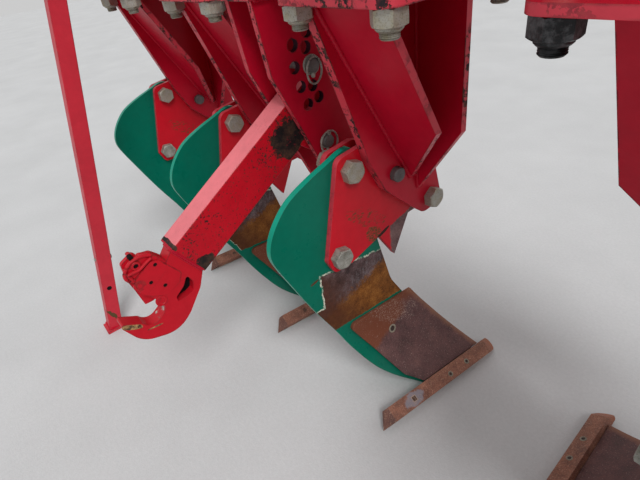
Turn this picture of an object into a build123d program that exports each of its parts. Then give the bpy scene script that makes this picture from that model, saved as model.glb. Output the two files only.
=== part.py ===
from build123d import *
import math
import os

# A mounted six-leg subsoiler for a three-point linkage, three metres wide, standing on its point bars.
# X runs to the machine's right, Y in the direction of travel, Z up from the floor, in millimetres.
# Y = 0 is the rear row of frame bolts while the pieces are drawn, and Z = 0 is where the blades' hollow
# faces would meet the floor.  At the end everything is moved along Y and Z, so that the origin lies on the
# floor below the middle of the whole machine.
# The left half is drawn and the right half is its mirror image.

# Leg rows, counted outward from the middle of the machine
LEG_ROWS = 3
LEG_PITCH = 500.0

# Frame beam
BEAM_SIDE = 200.0
BEAM_WALL = 10.0
BEAM_UNDERSIDE = 1036.0
BEAM_OVERHANG = 109.0
END_PLATE = 12.0
FRAME_BOLT = 30.0
BOLT_TO_BEAM = 8.0
BEAM_REAR = FRAME_BOLT / 2 + BOLT_TO_BEAM
BEAM_FRONT = BEAM_REAR + BEAM_SIDE
BEAM_TOP = BEAM_UNDERSIDE + BEAM_SIDE
FRONT_BOLT_ROW = BEAM_FRONT + BOLT_TO_BEAM + FRAME_BOLT / 2

# Holder: a flange clamped under the beam, one cheek and two gussets
LEG_BOLT_SPREAD = 200.0
FLANGE_MID = -211.0
FLANGE_THICK = 12.0
FLANGE_EDGE = 30.0
FLANGE_WIDTH = LEG_BOLT_SPREAD + 2 * FLANGE_EDGE
FLANGE_REAR = -FLANGE_EDGE
FLANGE_FRONT = FRONT_BOLT_ROW + FLANGE_EDGE
FLANGE_UNDERSIDE = BEAM_UNDERSIDE - FLANGE_THICK
CLAMP_CORNER = 25.0
BEAM_LENGTH = 2 * ((LEG_ROWS - 1) * LEG_PITCH - FLANGE_MID + FLANGE_WIDTH / 2 + BEAM_OVERHANG)
CHEEK_FACE = -298.0
CHEEK_THICK = 22.0
GUSSET_THICK = 15.0
REAR_GUSSET_WIDTH = 146.0
REAR_GUSSET_FOOT = 618.0
REAR_GUSSET_CUT_SLOPE = 1.155
REAR_GUSSET_RUN = 211.0 / 390.0
REAR_GUSSET_TOP = 19.0
FRONT_GUSSET_WIDTH = 116.0
FRONT_GUSSET_FOOT = 580.0
FRONT_GUSSET_CUT_SLOPE = 1.42

# Carrier: two side plates with a spacer block ahead of the blade
CARRIER_THICK = 15.0
CARRIER_FIT = 0.2
CARRIER_INNER_FACE = CHEEK_FACE - CHEEK_THICK - CARRIER_FIT

# Blade: a plate that hangs upright and curls inward to the point bar
BLADE_THICK = 25.0
BLADE_FIT = 0.2
BLADE_FACE = CARRIER_INNER_FACE - CARRIER_THICK - BLADE_FIT
CARRIER_OUTER_FACE = BLADE_FACE - BLADE_THICK - BLADE_FIT
BEND_START = 238.0
BEND_RADIUS = 250.0
FOOT_SLOPE = 30.0
BLADE_TOP = 738.0
BLADE_BOTTOM = 4.0

# Wear plate and point bar, both on the hollow face of the blade
WEAR_THICK = 10.0
WEAR_FOOT = 14.0
WEAR_TO_BAR = 1.0
SEAT_GAP = 0.2
BAR_WIDTH = 41.0
BAR_THICK = 25.0
BAR_LENGTH = 453.0
BAR_TURN = 4.2
BAR_MID_DOWN = -17.0
BAR_MID_AHEAD = 221.0
BAR_REAR_SLANT = 28.0
BAR_BEVEL = 38.0
BAR_NOSE_RADIUS = 18.0

# Rear hitch arms
ARM_TUBE_WIDTH = 60.0
ARM_TUBE_HEIGHT = 100.0
ARM_TUBE_WALL = 8.0
ARM_SIDE_GAP = 5.0
ARM_SLOPE = 31.2
ARM_AXIS_OFFSET = 80.0
ARM_TUBE_END = 402.0
ARM_TUBE_FRONT = -72.0
BRACKET_THICK = 15.0
BRACKET_PAD_EDGE = 10.0
BRACKET_TO_FLANGE = 26.0
BRACKET_WIDTH = 2 * BRACKET_THICK + 2 * ARM_SIDE_GAP + ARM_TUBE_WIDTH
BRACKET_FACE = FLANGE_MID - LEG_PITCH + FLANGE_WIDTH / 2 + BRACKET_TO_FLANGE + BRACKET_WIDTH
ARM_MID = BRACKET_FACE - BRACKET_THICK - ARM_SIDE_GAP - ARM_TUBE_WIDTH / 2
ARM_PIVOT_AT = (129.0, 711.0)
ARM_PIN_RADIUS = 15.0
PIN_RUNNING_FIT = 0.08
ARM_BOSS_RADIUS = 30.0
PIN_END = 22.0
STOP_GAP = 0.3
FRONT_HOLE_PITCH = 34.0
REAR_HOLE_PITCH = 41.0
HOLE_COLUMN_REAR = 80.0
HOLE_COLUMN_FRONT = 114.0
SPARE_HOLE_SIDES = 10

# Quick hook at the end of the arm, drawn in arm axes: u along the arm from its pivot, v square to it
HOOK_THICK = 46.0
THROAT_RADIUS = 28.5
THROAT_AT = (537.0, 80.0)
LATCH_THICK = 14.0
LATCH_GAP = 0.3

# Parking stands: a square tube through a sleeve, leaning back and outward
STAND_BESIDE_ROW = -183.0
STAND_FOOT_AT = (STAND_BESIDE_ROW - (LEG_ROWS - 1) * LEG_PITCH, -420.0)
STAND_LEAN_BACK = 12.2
STAND_LEAN_OUT = 4.9
STAND_SIDE = 45.0
STAND_WALL = 4.0
STAND_LENGTH = 1400.0
FOOT_SIDE = 64.0
FOOT_THICK = 10.0
SLEEVE_FIT = 0.5
SLEEVE_WALL = 6.0
SLEEVE_LENGTH = 150.0
SLEEVE_UP = 1100.0
SLEEVE_PLATE_OUTER = 18.0
SLEEVE_PLATE_INNER = 90.0
STAND_TRAVEL = 600.0

# Three-point headstock
HITCH_SPREAD = 965.0
HITCH_GAP = 80.0
HITCH_PLATE = 20.0
HITCH_PIN_AT = (455.0, 620.0)
HITCH_PIN_RADIUS = 18.3
HITCH_EDGE = 60.0
MAST_HEIGHT = 685.0
MAST_GAP = 60.0
MAST_PLATE = 20.0
MAST_EDGE = 50.0
TOP_PIN_AT = (420.0, HITCH_PIN_AT[1] + MAST_HEIGHT)
TOP_PIN_RADIUS = 15.9
SPARE_LINK_AT = (TOP_PIN_AT[0] - 50.0, TOP_PIN_AT[1] - 75.0)
REAR_LINK_AT = (-90.0, 1340.0)
REAR_LINK_RADIUS = 12.8


def outline(rows):
    """A face in the YZ plane from corner rows (y, z, corner radius)."""
    face = make_face(Polyline(*[(y, z) for y, z, _ in rows], close=True))
    for y, z, radius in rows:
        if radius > 0:
            corner = face.vertices().sort_by_distance(Vector(y, z))[0]
            face = fillet(corner, radius)
    return face


def plate(rows, x_high, thick, holes=()):
    """A plate across X whose higher face lies at x_high; holes are rows (y, z, radius)."""
    face = outline(rows)
    for y, z, radius in holes:
        face -= Pos(y, z) * Circle(radius)
    return Pos(x_high - thick) * extrude(Plane.YZ * face, amount=thick)


def rod(at, radius, x_low, x_high):
    """A round rod along X through the point at = (y, z)."""
    return Pos(x_low, at[0], at[1]) * extrude(Plane.YZ * Circle(radius), amount=x_high - x_low)


def block(x_span, y_span, z_span):
    """A box from three (low, high) spans."""
    spans = (x_span, y_span, z_span)
    middle = [(low + high) / 2 for low, high in spans]
    return Pos(*middle) * Box(*[high - low for low, high in spans])


def beam():
    tube = Rectangle(BEAM_SIDE, BEAM_SIDE)
    tube = fillet(tube.vertices(), 2 * BEAM_WALL)
    inner = Rectangle(BEAM_SIDE - 2 * BEAM_WALL, BEAM_SIDE - 2 * BEAM_WALL)
    tube -= fillet(inner.vertices(), BEAM_WALL)
    middle = Pos(-BEAM_LENGTH / 2, BEAM_REAR + BEAM_SIDE / 2, BEAM_UNDERSIDE + BEAM_SIDE / 2)
    return middle * extrude(Plane.YZ * tube, amount=BEAM_LENGTH)


def beam_end():
    y_span = (BEAM_REAR, BEAM_FRONT)
    z_span = (BEAM_UNDERSIDE, BEAM_TOP)
    return block((-BEAM_LENGTH / 2 - END_PLATE, -BEAM_LENGTH / 2), y_span, z_span)


def clamp_flange():
    """The flange under the beam; its corners are concentric with the four frame bolts."""
    depth = FLANGE_FRONT - FLANGE_REAR
    face = fillet(Rectangle(FLANGE_WIDTH, depth).vertices(), FLANGE_EDGE)
    y_mid = (FLANGE_FRONT + FLANGE_REAR) / 2
    return Pos(FLANGE_MID, y_mid, FLANGE_UNDERSIDE) * extrude(face, amount=FLANGE_THICK)


def clamp_plate():
    """The plate on top of the beam that takes the upper ends of the four frame bolts."""
    depth = FLANGE_FRONT - FLANGE_REAR
    face = chamfer(Rectangle(FLANGE_WIDTH, depth).vertices(), CLAMP_CORNER)
    y_mid = (FLANGE_FRONT + FLANGE_REAR) / 2
    return Pos(FLANGE_MID, y_mid, BEAM_TOP) * extrude(face, amount=FLANGE_THICK)


def gusset(strip, width, foot, slope):
    """A plate across the cheek, its free edge cut on a slope down to the cheek at its foot."""
    free_edge = CHEEK_FACE + width
    corner = Polyline(
        (CHEEK_FACE, foot),
        (free_edge, foot + width * slope),
        (free_edge, foot - 1),
        (CHEEK_FACE, foot - 1),
        close=True,
    )
    cutter = Pos(0, 400, 0) * extrude(Plane.XZ * make_face(corner), amount=400)
    return plate(strip, free_edge, width) - cutter


def holder():
    cheek_rows = [
        (8, FLANGE_UNDERSIDE, 0),
        (45, 917, 0),
        (101, 751, 0),
        (116, 703, 0),
        (158, 619, 0),
        (282, 502, 35),
        (352, 512, 30),
        (328, 606, 60),
        (FLANGE_FRONT, FLANGE_UNDERSIDE, 0),
    ]
    seam_foot = REAR_GUSSET_TOP + (FLANGE_UNDERSIDE - REAR_GUSSET_FOOT) * REAR_GUSSET_RUN
    rear_strip = [
        (REAR_GUSSET_TOP, FLANGE_UNDERSIDE, 0),
        (seam_foot, REAR_GUSSET_FOOT, 0),
        (seam_foot + GUSSET_THICK, REAR_GUSSET_FOOT, 0),
        (REAR_GUSSET_TOP + 1.15 * GUSSET_THICK, FLANGE_UNDERSIDE, 0),
    ]
    front_strip = [
        (FLANGE_FRONT - GUSSET_THICK, FLANGE_UNDERSIDE, 0),
        (FLANGE_FRONT - GUSSET_THICK, FRONT_GUSSET_FOOT, 0),
        (FLANGE_FRONT, FRONT_GUSSET_FOOT, 0),
        (FLANGE_FRONT, FLANGE_UNDERSIDE, 0),
    ]
    solid = clamp_flange() + plate(cheek_rows, CHEEK_FACE, CHEEK_THICK)
    solid += gusset(rear_strip, REAR_GUSSET_WIDTH, REAR_GUSSET_FOOT, REAR_GUSSET_CUT_SLOPE)
    solid += gusset(front_strip, FRONT_GUSSET_WIDTH, FRONT_GUSSET_FOOT, FRONT_GUSSET_CUT_SLOPE)
    return solid


# Both side plates of the carrier share this outline; only the inner one has the tooth at its lower edge
CARRIER_TOP_AND_REAR = [
    (125, 736, 0),
    (50, 727, 22),
    (-8, 498, 0),
    (8, 461, 15),
    (60, 462, 0),
]
CARRIER_FRONT = [
    (352, 512, 30),
    (330, 620, 60),
    (225, 705, 40),
]


def carrier():
    straight = [(170, 502, 0), (300, 506, 0)]
    tooth = [(150, 489, 0), (199, 410, 0), (252, 508, 0)]
    inner = plate(CARRIER_TOP_AND_REAR + tooth + CARRIER_FRONT, CARRIER_INNER_FACE, CARRIER_THICK)
    outer = plate(CARRIER_TOP_AND_REAR + straight + CARRIER_FRONT, CARRIER_OUTER_FACE, CARRIER_THICK)
    spacer_rows = [(175, 690, 0), (175, 530, 0), (285, 515, 0), (335, 530, 0), (315, 610, 0), (225, 690, 0)]
    gap = CARRIER_INNER_FACE - CARRIER_THICK - CARRIER_OUTER_FACE
    spacer = plate(spacer_rows, CARRIER_INNER_FACE - CARRIER_THICK, gap)
    return inner + outer + spacer


def curl(offset, thick):
    """A strip across Y that follows the hollow face of the blade, offset toward the hollow side."""
    near = BEND_RADIUS - offset
    far = near + thick
    turn = math.radians(90 - FOOT_SLOPE)
    centre = (BLADE_FACE + BEND_RADIUS, BEND_START)
    end_run = (BEND_START - BEND_RADIUS * math.sin(turn)) / math.cos(turn) + 2 * thick

    def on_arc(radius, angle):
        return (centre[0] - radius * math.cos(angle), centre[1] - radius * math.sin(angle))

    def beyond(point):
        return (point[0] + end_run * math.sin(turn), point[1] - end_run * math.cos(turn))

    near_end = on_arc(near, turn)
    far_end = on_arc(far, turn)
    edges = [
        Line((centre[0] - near, BLADE_TOP), (centre[0] - near, BEND_START)),
        ThreePointArc(on_arc(near, 0), on_arc(near, turn / 2), near_end),
        Line(near_end, beyond(near_end)),
        Line(beyond(near_end), beyond(far_end)),
        Line(beyond(far_end), far_end),
        ThreePointArc(far_end, on_arc(far, turn / 2), on_arc(far, 0)),
        Line((centre[0] - far, BEND_START), (centre[0] - far, BLADE_TOP)),
        Line((centre[0] - far, BLADE_TOP), (centre[0] - near, BLADE_TOP)),
    ]
    face = Plane.XZ * make_face(edges)
    return Pos(0, 600, 0) * extrude(face, amount=900)


def blade():
    side = outline(
        [
            (95, BLADE_TOP, 10),
            (-135, BLADE_TOP - 74, 105),
            (-135, BLADE_TOP - 166, 50),
            (34, 182, 90),
            (112, 60, 60),
            (225, BLADE_BOTTOM, 0),
            (385, BLADE_BOTTOM, 0),
            (300, 142, 200),
            (196, 320, 120),
            (150, 500, 60),
            (150, BLADE_TOP - 38, 20),
        ]
    )
    through = Pos(-600) * extrude(Plane.YZ * side, amount=600)
    return curl(0, BLADE_THICK) & through


def wear_plate():
    side = outline(
        [
            (30, 266, 14),
            (262, 249, 0),
            (329, 142, 0),
            (406, WEAR_FOOT, 0),
            (200, WEAR_FOOT, 0),
            (141, 56, 0),
            (95, 148, 0),
        ]
    )
    through = Pos(-600) * extrude(Plane.YZ * side, amount=600)
    reach = BAR_LENGTH
    below = block((-BAR_WIDTH / 2 - WEAR_TO_BAR, BAR_WIDTH), (-reach, reach), (-BAR_WIDTH, BAR_WIDTH))
    return (curl(WEAR_THICK + SEAT_GAP, WEAR_THICK) & through) - bar_frame() * below


def bar_frame():
    """Axes of the point bar: Y along it, Z square to the blade's foot, origin in the middle of its back."""
    slope = math.radians(FOOT_SLOPE)
    turn = math.radians(90 - FOOT_SLOPE)
    bend_end_x = BLADE_FACE + BEND_RADIUS * (1 - math.cos(turn))
    bend_end_z = BEND_START - BEND_RADIUS * math.sin(turn)
    foot = Pos(bend_end_x + bend_end_z / math.tan(slope)) * Rot(0, FOOT_SLOPE, 0)
    return foot * Pos(BAR_MID_DOWN, BAR_MID_AHEAD, SEAT_GAP) * Rot(0, 0, -BAR_TURN)


def point_bar():
    """A reversible point: bevelled at both ends, its nose worn round."""
    half_width = BAR_WIDTH / 2
    half_length = BAR_LENGTH / 2
    nose = [(half_width, half_length), (-half_width, half_length)]
    plan = make_face(
        Polyline(
            (-half_width, -half_length + BAR_REAR_SLANT),
            (half_width, -half_length),
            *nose,
            close=True,
        )
    )
    for corner in nose:
        plan = fillet(plan.vertices().sort_by_distance(Vector(*corner))[0], BAR_NOSE_RADIUS)
    side = Polyline(
        (-half_length, 0),
        (half_length, 0),
        (half_length - BAR_BEVEL, BAR_THICK),
        (-half_length + BAR_BEVEL, BAR_THICK),
        close=True,
    )
    along = Pos(-half_width) * extrude(Plane.YZ * make_face(side), amount=BAR_WIDTH)
    return bar_frame() * (extrude(plan, amount=BAR_THICK) & along)


def floor_level():
    """The machine stands on the lower front edges of its point bars."""
    return point_bar().bounding_box().min.Z


def arm_point(u, v):
    """A point given in arm axes, as (y, z)."""
    slope = math.radians(ARM_SLOPE)
    y = ARM_PIVOT_AT[0] - u * math.cos(slope) - v * math.sin(slope)
    z = ARM_PIVOT_AT[1] - u * math.sin(slope) + v * math.cos(slope)
    return (y, z)


def arm_plate(rows, thick):
    """A plate in the middle of the arm from rows (u, v, corner radius)."""
    turned = [arm_point(u, v) + (radius,) for u, v, radius in rows]
    return plate(turned, ARM_MID + thick / 2, thick)


def stop_pin_at():
    """The locking pin lies in the front column, just clear of the top face of the arm tube."""
    slope = math.radians(ARM_SLOPE)
    reach = ARM_AXIS_OFFSET + ARM_TUBE_HEIGHT / 2 + STOP_GAP + ARM_PIN_RADIUS
    ahead = HOLE_COLUMN_FRONT - ARM_PIVOT_AT[0]
    rise = (reach + ahead * math.sin(slope)) / math.cos(slope)
    return (HOLE_COLUMN_FRONT, ARM_PIVOT_AT[1] + rise)


def arm_bracket():
    """Two plates under a pad that is welded to the beam, with spare holes for the locking pin."""
    pin_z = stop_pin_at()[1]
    radius = ARM_PIN_RADIUS + PIN_RUNNING_FIT
    holes = [ARM_PIVOT_AT + (radius,), stop_pin_at() + (radius,)]
    rows = [
        (0, FLANGE_UNDERSIDE, 0),
        (15, 883, 0),
        (148, 565, 25),
        (205, 565, 25),
        (226, 700, 0),
        (240, FLANGE_UNDERSIDE, 0),
    ]
    near = plate(rows, BRACKET_FACE, BRACKET_THICK, holes)
    far_face = BRACKET_FACE - BRACKET_THICK - 2 * ARM_SIDE_GAP - ARM_TUBE_WIDTH
    far = plate(rows, far_face, BRACKET_THICK, holes)
    edge = BRACKET_PAD_EDGE
    pad_x = (far_face - BRACKET_THICK - edge, BRACKET_FACE + edge)
    pad = block(pad_x, (-edge, 240 + edge), (FLANGE_UNDERSIDE, BEAM_UNDERSIDE))
    spare_hole = extrude(Plane.YZ * RegularPolygon(radius, SPARE_HOLE_SIDES), amount=pad_x[1] - pad_x[0])
    spare_at = [(HOLE_COLUMN_FRONT, pin_z + step * FRONT_HOLE_PITCH) for step in (-2, -1, 1, 2)]
    spare_at += [(HOLE_COLUMN_REAR, pin_z + step * REAR_HOLE_PITCH) for step in (-1.5, -0.5, 0.5, 1.5)]
    plates = near + far
    for y, z in spare_at:
        plates -= Pos(pad_x[0], y, z) * spare_hole
    return pad + plates


def arm_tube():
    half = ARM_TUBE_HEIGHT / 2
    rows = [
        (ARM_TUBE_FRONT, ARM_AXIS_OFFSET - half, 0),
        (ARM_TUBE_FRONT, ARM_AXIS_OFFSET + half, 0),
        (ARM_TUBE_END, ARM_AXIS_OFFSET + half, 0),
        (ARM_TUBE_END, ARM_AXIS_OFFSET - half, 0),
    ]
    inner = [
        (ARM_TUBE_FRONT, ARM_AXIS_OFFSET - half + ARM_TUBE_WALL, 0),
        (ARM_TUBE_FRONT, ARM_AXIS_OFFSET + half - ARM_TUBE_WALL, 0),
        (ARM_TUBE_END, ARM_AXIS_OFFSET + half - ARM_TUBE_WALL, 0),
        (ARM_TUBE_END, ARM_AXIS_OFFSET - half + ARM_TUBE_WALL, 0),
    ]
    tube = arm_plate(rows, ARM_TUBE_WIDTH) - arm_plate(inner, ARM_TUBE_WIDTH - 2 * ARM_TUBE_WALL)
    lug = arm_plate([(-36, 0, 0), (-46, 34, 0), (46, 34, 0), (36, 0, 0)], ARM_TUBE_WIDTH)
    half_width = ARM_TUBE_WIDTH / 2
    boss = rod(ARM_PIVOT_AT, ARM_BOSS_RADIUS, ARM_MID - half_width, ARM_MID + half_width)
    bore_radius = ARM_PIN_RADIUS + PIN_RUNNING_FIT
    bore = rod(ARM_PIVOT_AT, bore_radius, ARM_MID - ARM_TUBE_WIDTH, ARM_MID + ARM_TUBE_WIDTH)
    return tube + lug + boss - bore


def arm_pins():
    """The pivot pin and the locking pin; both stick out of the bracket on each side."""
    outer_end = BRACKET_FACE - 2 * (BRACKET_THICK + ARM_SIDE_GAP) - ARM_TUBE_WIDTH - PIN_END
    pins = Part()
    for at in (ARM_PIVOT_AT, stop_pin_at()):
        pins += rod(at, ARM_PIN_RADIUS, outer_end, BRACKET_FACE + PIN_END)
    return pins


def hook():
    radius = THROAT_RADIUS
    mid_u, mid_v = THROAT_AT
    rows = [
        (ARM_TUBE_END, ARM_AXIS_OFFSET + 48, 0),
        (430, 130, 0),
        (433, 168, 0),
        (456, 188, 0),
        (492, 182, 0),
        (503, 162, 0),
        (513, 120, 0),
        (mid_u - radius, 96, 0),
        (mid_u - radius, mid_v, 0),
        (mid_u - radius, mid_v - radius, radius - 0.5),
        (mid_u + radius, mid_v - radius, radius - 0.5),
        (568, 113, 0),
        (588, 112, 0),
        (595, 103, 0),
        (602, 40, 60),
        (548, -21, 60),
        (500, -14, 0),
        (440, 8, 0),
        (ARM_TUBE_END, ARM_AXIS_OFFSET - 46, 0),
    ]
    body = arm_plate(rows, HOOK_THICK)
    pocket = arm_plate([(437, 58, 0), (446, 26, 0), (486, 38, 0)], 2 * HOOK_THICK)
    slot = arm_plate([(450, 210, 0), (450, 100, 0), (520, 100, 0), (520, 210, 0)], LATCH_THICK + 2 * LATCH_GAP)
    return body - pocket - slot


def hook_latch():
    rows = [
        (452, 184, 0),
        (452, 102, 0),
        (498, 102, 0),
        (527, 97, 0),
        (516, 124, 0),
        (506, 150, 0),
        (482, 186, 0),
    ]
    return arm_plate(rows, LATCH_THICK)


def stand_frame():
    """Axes of the left stand: Z up the leaning tube, origin on the floor."""
    return Pos(STAND_FOOT_AT[0], STAND_FOOT_AT[1], floor_level()) * Rot(-STAND_LEAN_BACK, STAND_LEAN_OUT, 0)


def square_tube(side, wall, low, high):
    ring = Rectangle(side, side) - Rectangle(side - 2 * wall, side - 2 * wall)
    return Pos(0, 0, low) * extrude(ring, amount=high - low)


def stand_leg():
    tube = stand_frame() * square_tube(STAND_SIDE, STAND_WALL, -STAND_SIDE, STAND_LENGTH)
    foot_x, foot_y = STAND_FOOT_AT
    floor = floor_level()
    half = FOOT_SIDE / 2
    x_span = (foot_x - half, foot_x + half)
    y_span = (foot_y - half, foot_y + half)
    foot = block(x_span, y_span, (floor, floor + FOOT_THICK))
    below = block((foot_x - 200, foot_x + 200), (foot_y - 200, foot_y + 200), (floor - 100, floor + FOOT_THICK))
    return (tube - below) + foot


def stand_sleeve():
    side = STAND_SIDE + 2 * SLEEVE_FIT + 2 * SLEEVE_WALL
    sleeve = stand_frame() * square_tube(side, SLEEVE_WALL, SLEEVE_UP, SLEEVE_UP + SLEEVE_LENGTH)
    middle = (stand_frame() * Pos(0, 0, SLEEVE_UP + SLEEVE_LENGTH / 2)).position
    x_outer = middle.X - SLEEVE_PLATE_OUTER
    z_span = (middle.Z - 50, middle.Z + 50)
    plate_front = BEAM_REAR - SEAT_GAP
    arm = block((x_outer, x_outer + 40), (middle.Y, plate_front), (middle.Z - 35, middle.Z + 35))
    hole = extrude(Rectangle(side - 1, side - 1), amount=2 * SLEEVE_LENGTH)
    arm -= stand_frame() * Pos(0, 0, SLEEVE_UP - SLEEVE_LENGTH / 2) * hole
    wall_plate = block((x_outer, middle.X + SLEEVE_PLATE_INNER), (plate_front - 15, plate_front), z_span)
    return sleeve + arm + wall_plate


def hitch_plates():
    mid = -HITCH_SPREAD / 2
    pin_y, pin_z = HITCH_PIN_AT
    rows = [
        (BEAM_FRONT, BEAM_TOP, 0),
        (BEAM_FRONT, BEAM_UNDERSIDE + 6, 0),
        (BEAM_FRONT + 77, BEAM_UNDERSIDE + 6, 0),
        (pin_y - HITCH_EDGE - 5, pin_z + 20, 0),
        (pin_y - HITCH_EDGE, pin_z - HITCH_EDGE, 50),
        (pin_y + HITCH_EDGE, pin_z - HITCH_EDGE, 50),
        (pin_y + HITCH_EDGE, pin_z + HITCH_EDGE, 0),
        (BEAM_FRONT + 175, BEAM_UNDERSIDE + 20, 0),
        (BEAM_FRONT + 77, BEAM_TOP, 0),
    ]
    holes = [HITCH_PIN_AT + (HITCH_PIN_RADIUS + PIN_RUNNING_FIT,)]
    plates = plate(rows, mid + HITCH_GAP / 2 + HITCH_PLATE, HITCH_PLATE, holes)
    plates += plate(rows, mid - HITCH_GAP / 2, HITCH_PLATE, holes)
    web_rows = [
        (BEAM_FRONT, BEAM_TOP - 40, 0),
        (BEAM_FRONT, BEAM_UNDERSIDE + 40, 0),
        (BEAM_FRONT + 95, BEAM_UNDERSIDE + 40, 0),
        (BEAM_FRONT + 65, BEAM_TOP - 40, 0),
    ]
    return plates + plate(web_rows, mid + HITCH_GAP / 2, HITCH_GAP)


def hitch_pin():
    reach = HITCH_GAP / 2 + HITCH_PLATE + PIN_END
    mid = -HITCH_SPREAD / 2
    return rod(HITCH_PIN_AT, HITCH_PIN_RADIUS, mid - reach, mid + reach)


def mast():
    top_y, top_z = TOP_PIN_AT
    rear_y, rear_z = REAR_LINK_AT
    edge = MAST_EDGE
    rows = [
        (BEAM_REAR, BEAM_TOP, 0),
        (rear_y - edge, rear_z - edge, 40),
        (rear_y - edge, rear_z + edge, 40),
        (top_y + edge, top_z + edge, 45),
        (top_y + edge, top_z - edge, 0),
        (SPARE_LINK_AT[0] + edge, SPARE_LINK_AT[1] - edge, 60),
        (BEAM_FRONT, BEAM_UNDERSIDE + 25, 0),
        (BEAM_FRONT, BEAM_TOP, 0),
    ]
    holes = [
        TOP_PIN_AT + (TOP_PIN_RADIUS + PIN_RUNNING_FIT,),
        SPARE_LINK_AT + (TOP_PIN_RADIUS + PIN_RUNNING_FIT,),
        REAR_LINK_AT + (REAR_LINK_RADIUS,),
    ]
    plates = plate(rows, MAST_GAP / 2 + MAST_PLATE, MAST_PLATE, holes)
    plates += plate(rows, -MAST_GAP / 2, MAST_PLATE, holes)
    web_rows = [
        (BEAM_REAR + 17, BEAM_TOP, 0),
        (BEAM_REAR + 17, BEAM_TOP + 65, 0),
        (BEAM_FRONT + 37, BEAM_TOP + 65, 0),
        (BEAM_FRONT + 37, BEAM_UNDERSIDE + 95, 0),
        (BEAM_FRONT, BEAM_UNDERSIDE + 95, 0),
        (BEAM_FRONT, BEAM_TOP, 0),
    ]
    return plates + plate(web_rows, MAST_GAP / 2, MAST_GAP)


def top_pin():
    reach = MAST_GAP / 2 + MAST_PLATE + PIN_END
    return rod(TOP_PIN_AT, TOP_PIN_RADIUS, -reach, reach)


def right_side(solid):
    return mirror(solid, about=Plane.YZ)


def both_sides(solid):
    """The piece and its mirror image as two solids of one node."""
    return solid + right_side(solid)


def build():
    nodes = {"main_beam": beam(), "mast": mast(), "top_link_pin": top_pin()}
    leg_parts = {
        "holders": holder(),
        "carriers": carrier(),
        "blades": blade(),
        "wear_plates": wear_plate(),
        "point_bars": point_bar(),
    }
    clamp_plates = Part()
    for row in range(LEG_ROWS):
        place = Pos(-row * LEG_PITCH)
        for name, solid in leg_parts.items():
            nodes[f"{name}_row_{row + 1}"] = both_sides(place * solid)
        clamp_plates += both_sides(place * clamp_plate())
    nodes["clamp_plates"] = clamp_plates
    frame_parts = {
        "beam_ends": beam_end(),
        "arm_brackets": arm_bracket(),
        "arm_pins": arm_pins(),
        "stand_sleeves": stand_sleeve(),
        "hitch_plates": hitch_plates(),
        "hitch_pins": hitch_pin(),
    }
    for name, solid in frame_parts.items():
        nodes[name] = both_sides(solid)
    moving_parts = {
        "arm_tube": arm_tube(),
        "hook": hook(),
        "hook_latch": hook_latch(),
        "stand_leg": stand_leg(),
    }
    for name, solid in moving_parts.items():
        nodes[f"{name}_left"] = solid
        nodes[f"{name}_right"] = right_side(solid)
    return nodes


def main():
    os.makedirs("parts", exist_ok=True)
    nodes = build()
    boxes = [solid.bounding_box() for solid in nodes.values()]
    y_mid = (min(box.min.Y for box in boxes) + max(box.max.Y for box in boxes)) / 2
    for name, solid in nodes.items():
        export_step(Pos(0, -y_mid, -floor_level()) * solid, f"parts/{name}.step")


main()
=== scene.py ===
import math
import random
from functools import reduce

import bmesh
import bpy
from bpy.props import FloatProperty, FloatVectorProperty, IntProperty, PointerProperty
from mathutils import Matrix, Vector


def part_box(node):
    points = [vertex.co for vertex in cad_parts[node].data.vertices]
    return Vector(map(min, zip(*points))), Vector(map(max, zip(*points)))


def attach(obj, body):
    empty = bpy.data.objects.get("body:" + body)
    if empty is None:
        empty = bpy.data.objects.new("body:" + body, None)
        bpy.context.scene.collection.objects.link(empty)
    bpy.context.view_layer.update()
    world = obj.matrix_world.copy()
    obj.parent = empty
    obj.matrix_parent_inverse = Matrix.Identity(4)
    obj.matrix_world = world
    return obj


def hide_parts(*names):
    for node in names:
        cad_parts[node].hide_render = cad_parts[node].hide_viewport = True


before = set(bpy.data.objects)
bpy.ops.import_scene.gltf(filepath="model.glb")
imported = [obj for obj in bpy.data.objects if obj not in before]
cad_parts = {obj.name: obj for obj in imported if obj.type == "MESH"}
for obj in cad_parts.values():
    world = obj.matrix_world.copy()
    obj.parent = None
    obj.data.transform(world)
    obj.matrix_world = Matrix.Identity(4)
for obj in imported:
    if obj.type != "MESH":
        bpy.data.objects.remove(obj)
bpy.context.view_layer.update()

bl_info = {
    "name": "Subsoiler dressing",
    "version": (1, 0, 0),
    "blender": (4, 5, 0),
    "location": "3D View > Sidebar > Subsoiler",
    "description": "Paint, wear, bolts, welds, pins and hooks of a six-leg mounted subsoiler",
    "category": "Object",
}

# Drawn measures are in millimetres on the machine's left half.  Y counts from the rear row of frame bolts
# and Z from where the blades' hollow faces would meet the floor, so both are tied to the beam's low corner.
MM = 0.001
BEAM_REAR, BEAM_FRONT, BEAM_UNDERSIDE, BEAM_TOP = 23.0, 223.0, 1036.0, 1236.0
BEAM_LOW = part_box("main_beam")[0]
ORIGIN = Vector((0, BEAM_LOW[1] - BEAM_REAR * MM, BEAM_LOW[2] - BEAM_UNDERSIDE * MM))
FLOOR = -ORIGIN.z / MM
DOWN, UP, INWARD, OUTWARD = Vector((0, 0, -1)), Vector((0, 0, 1)), Vector((1, 0, 0)), Vector((-1, 0, 0))

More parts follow.
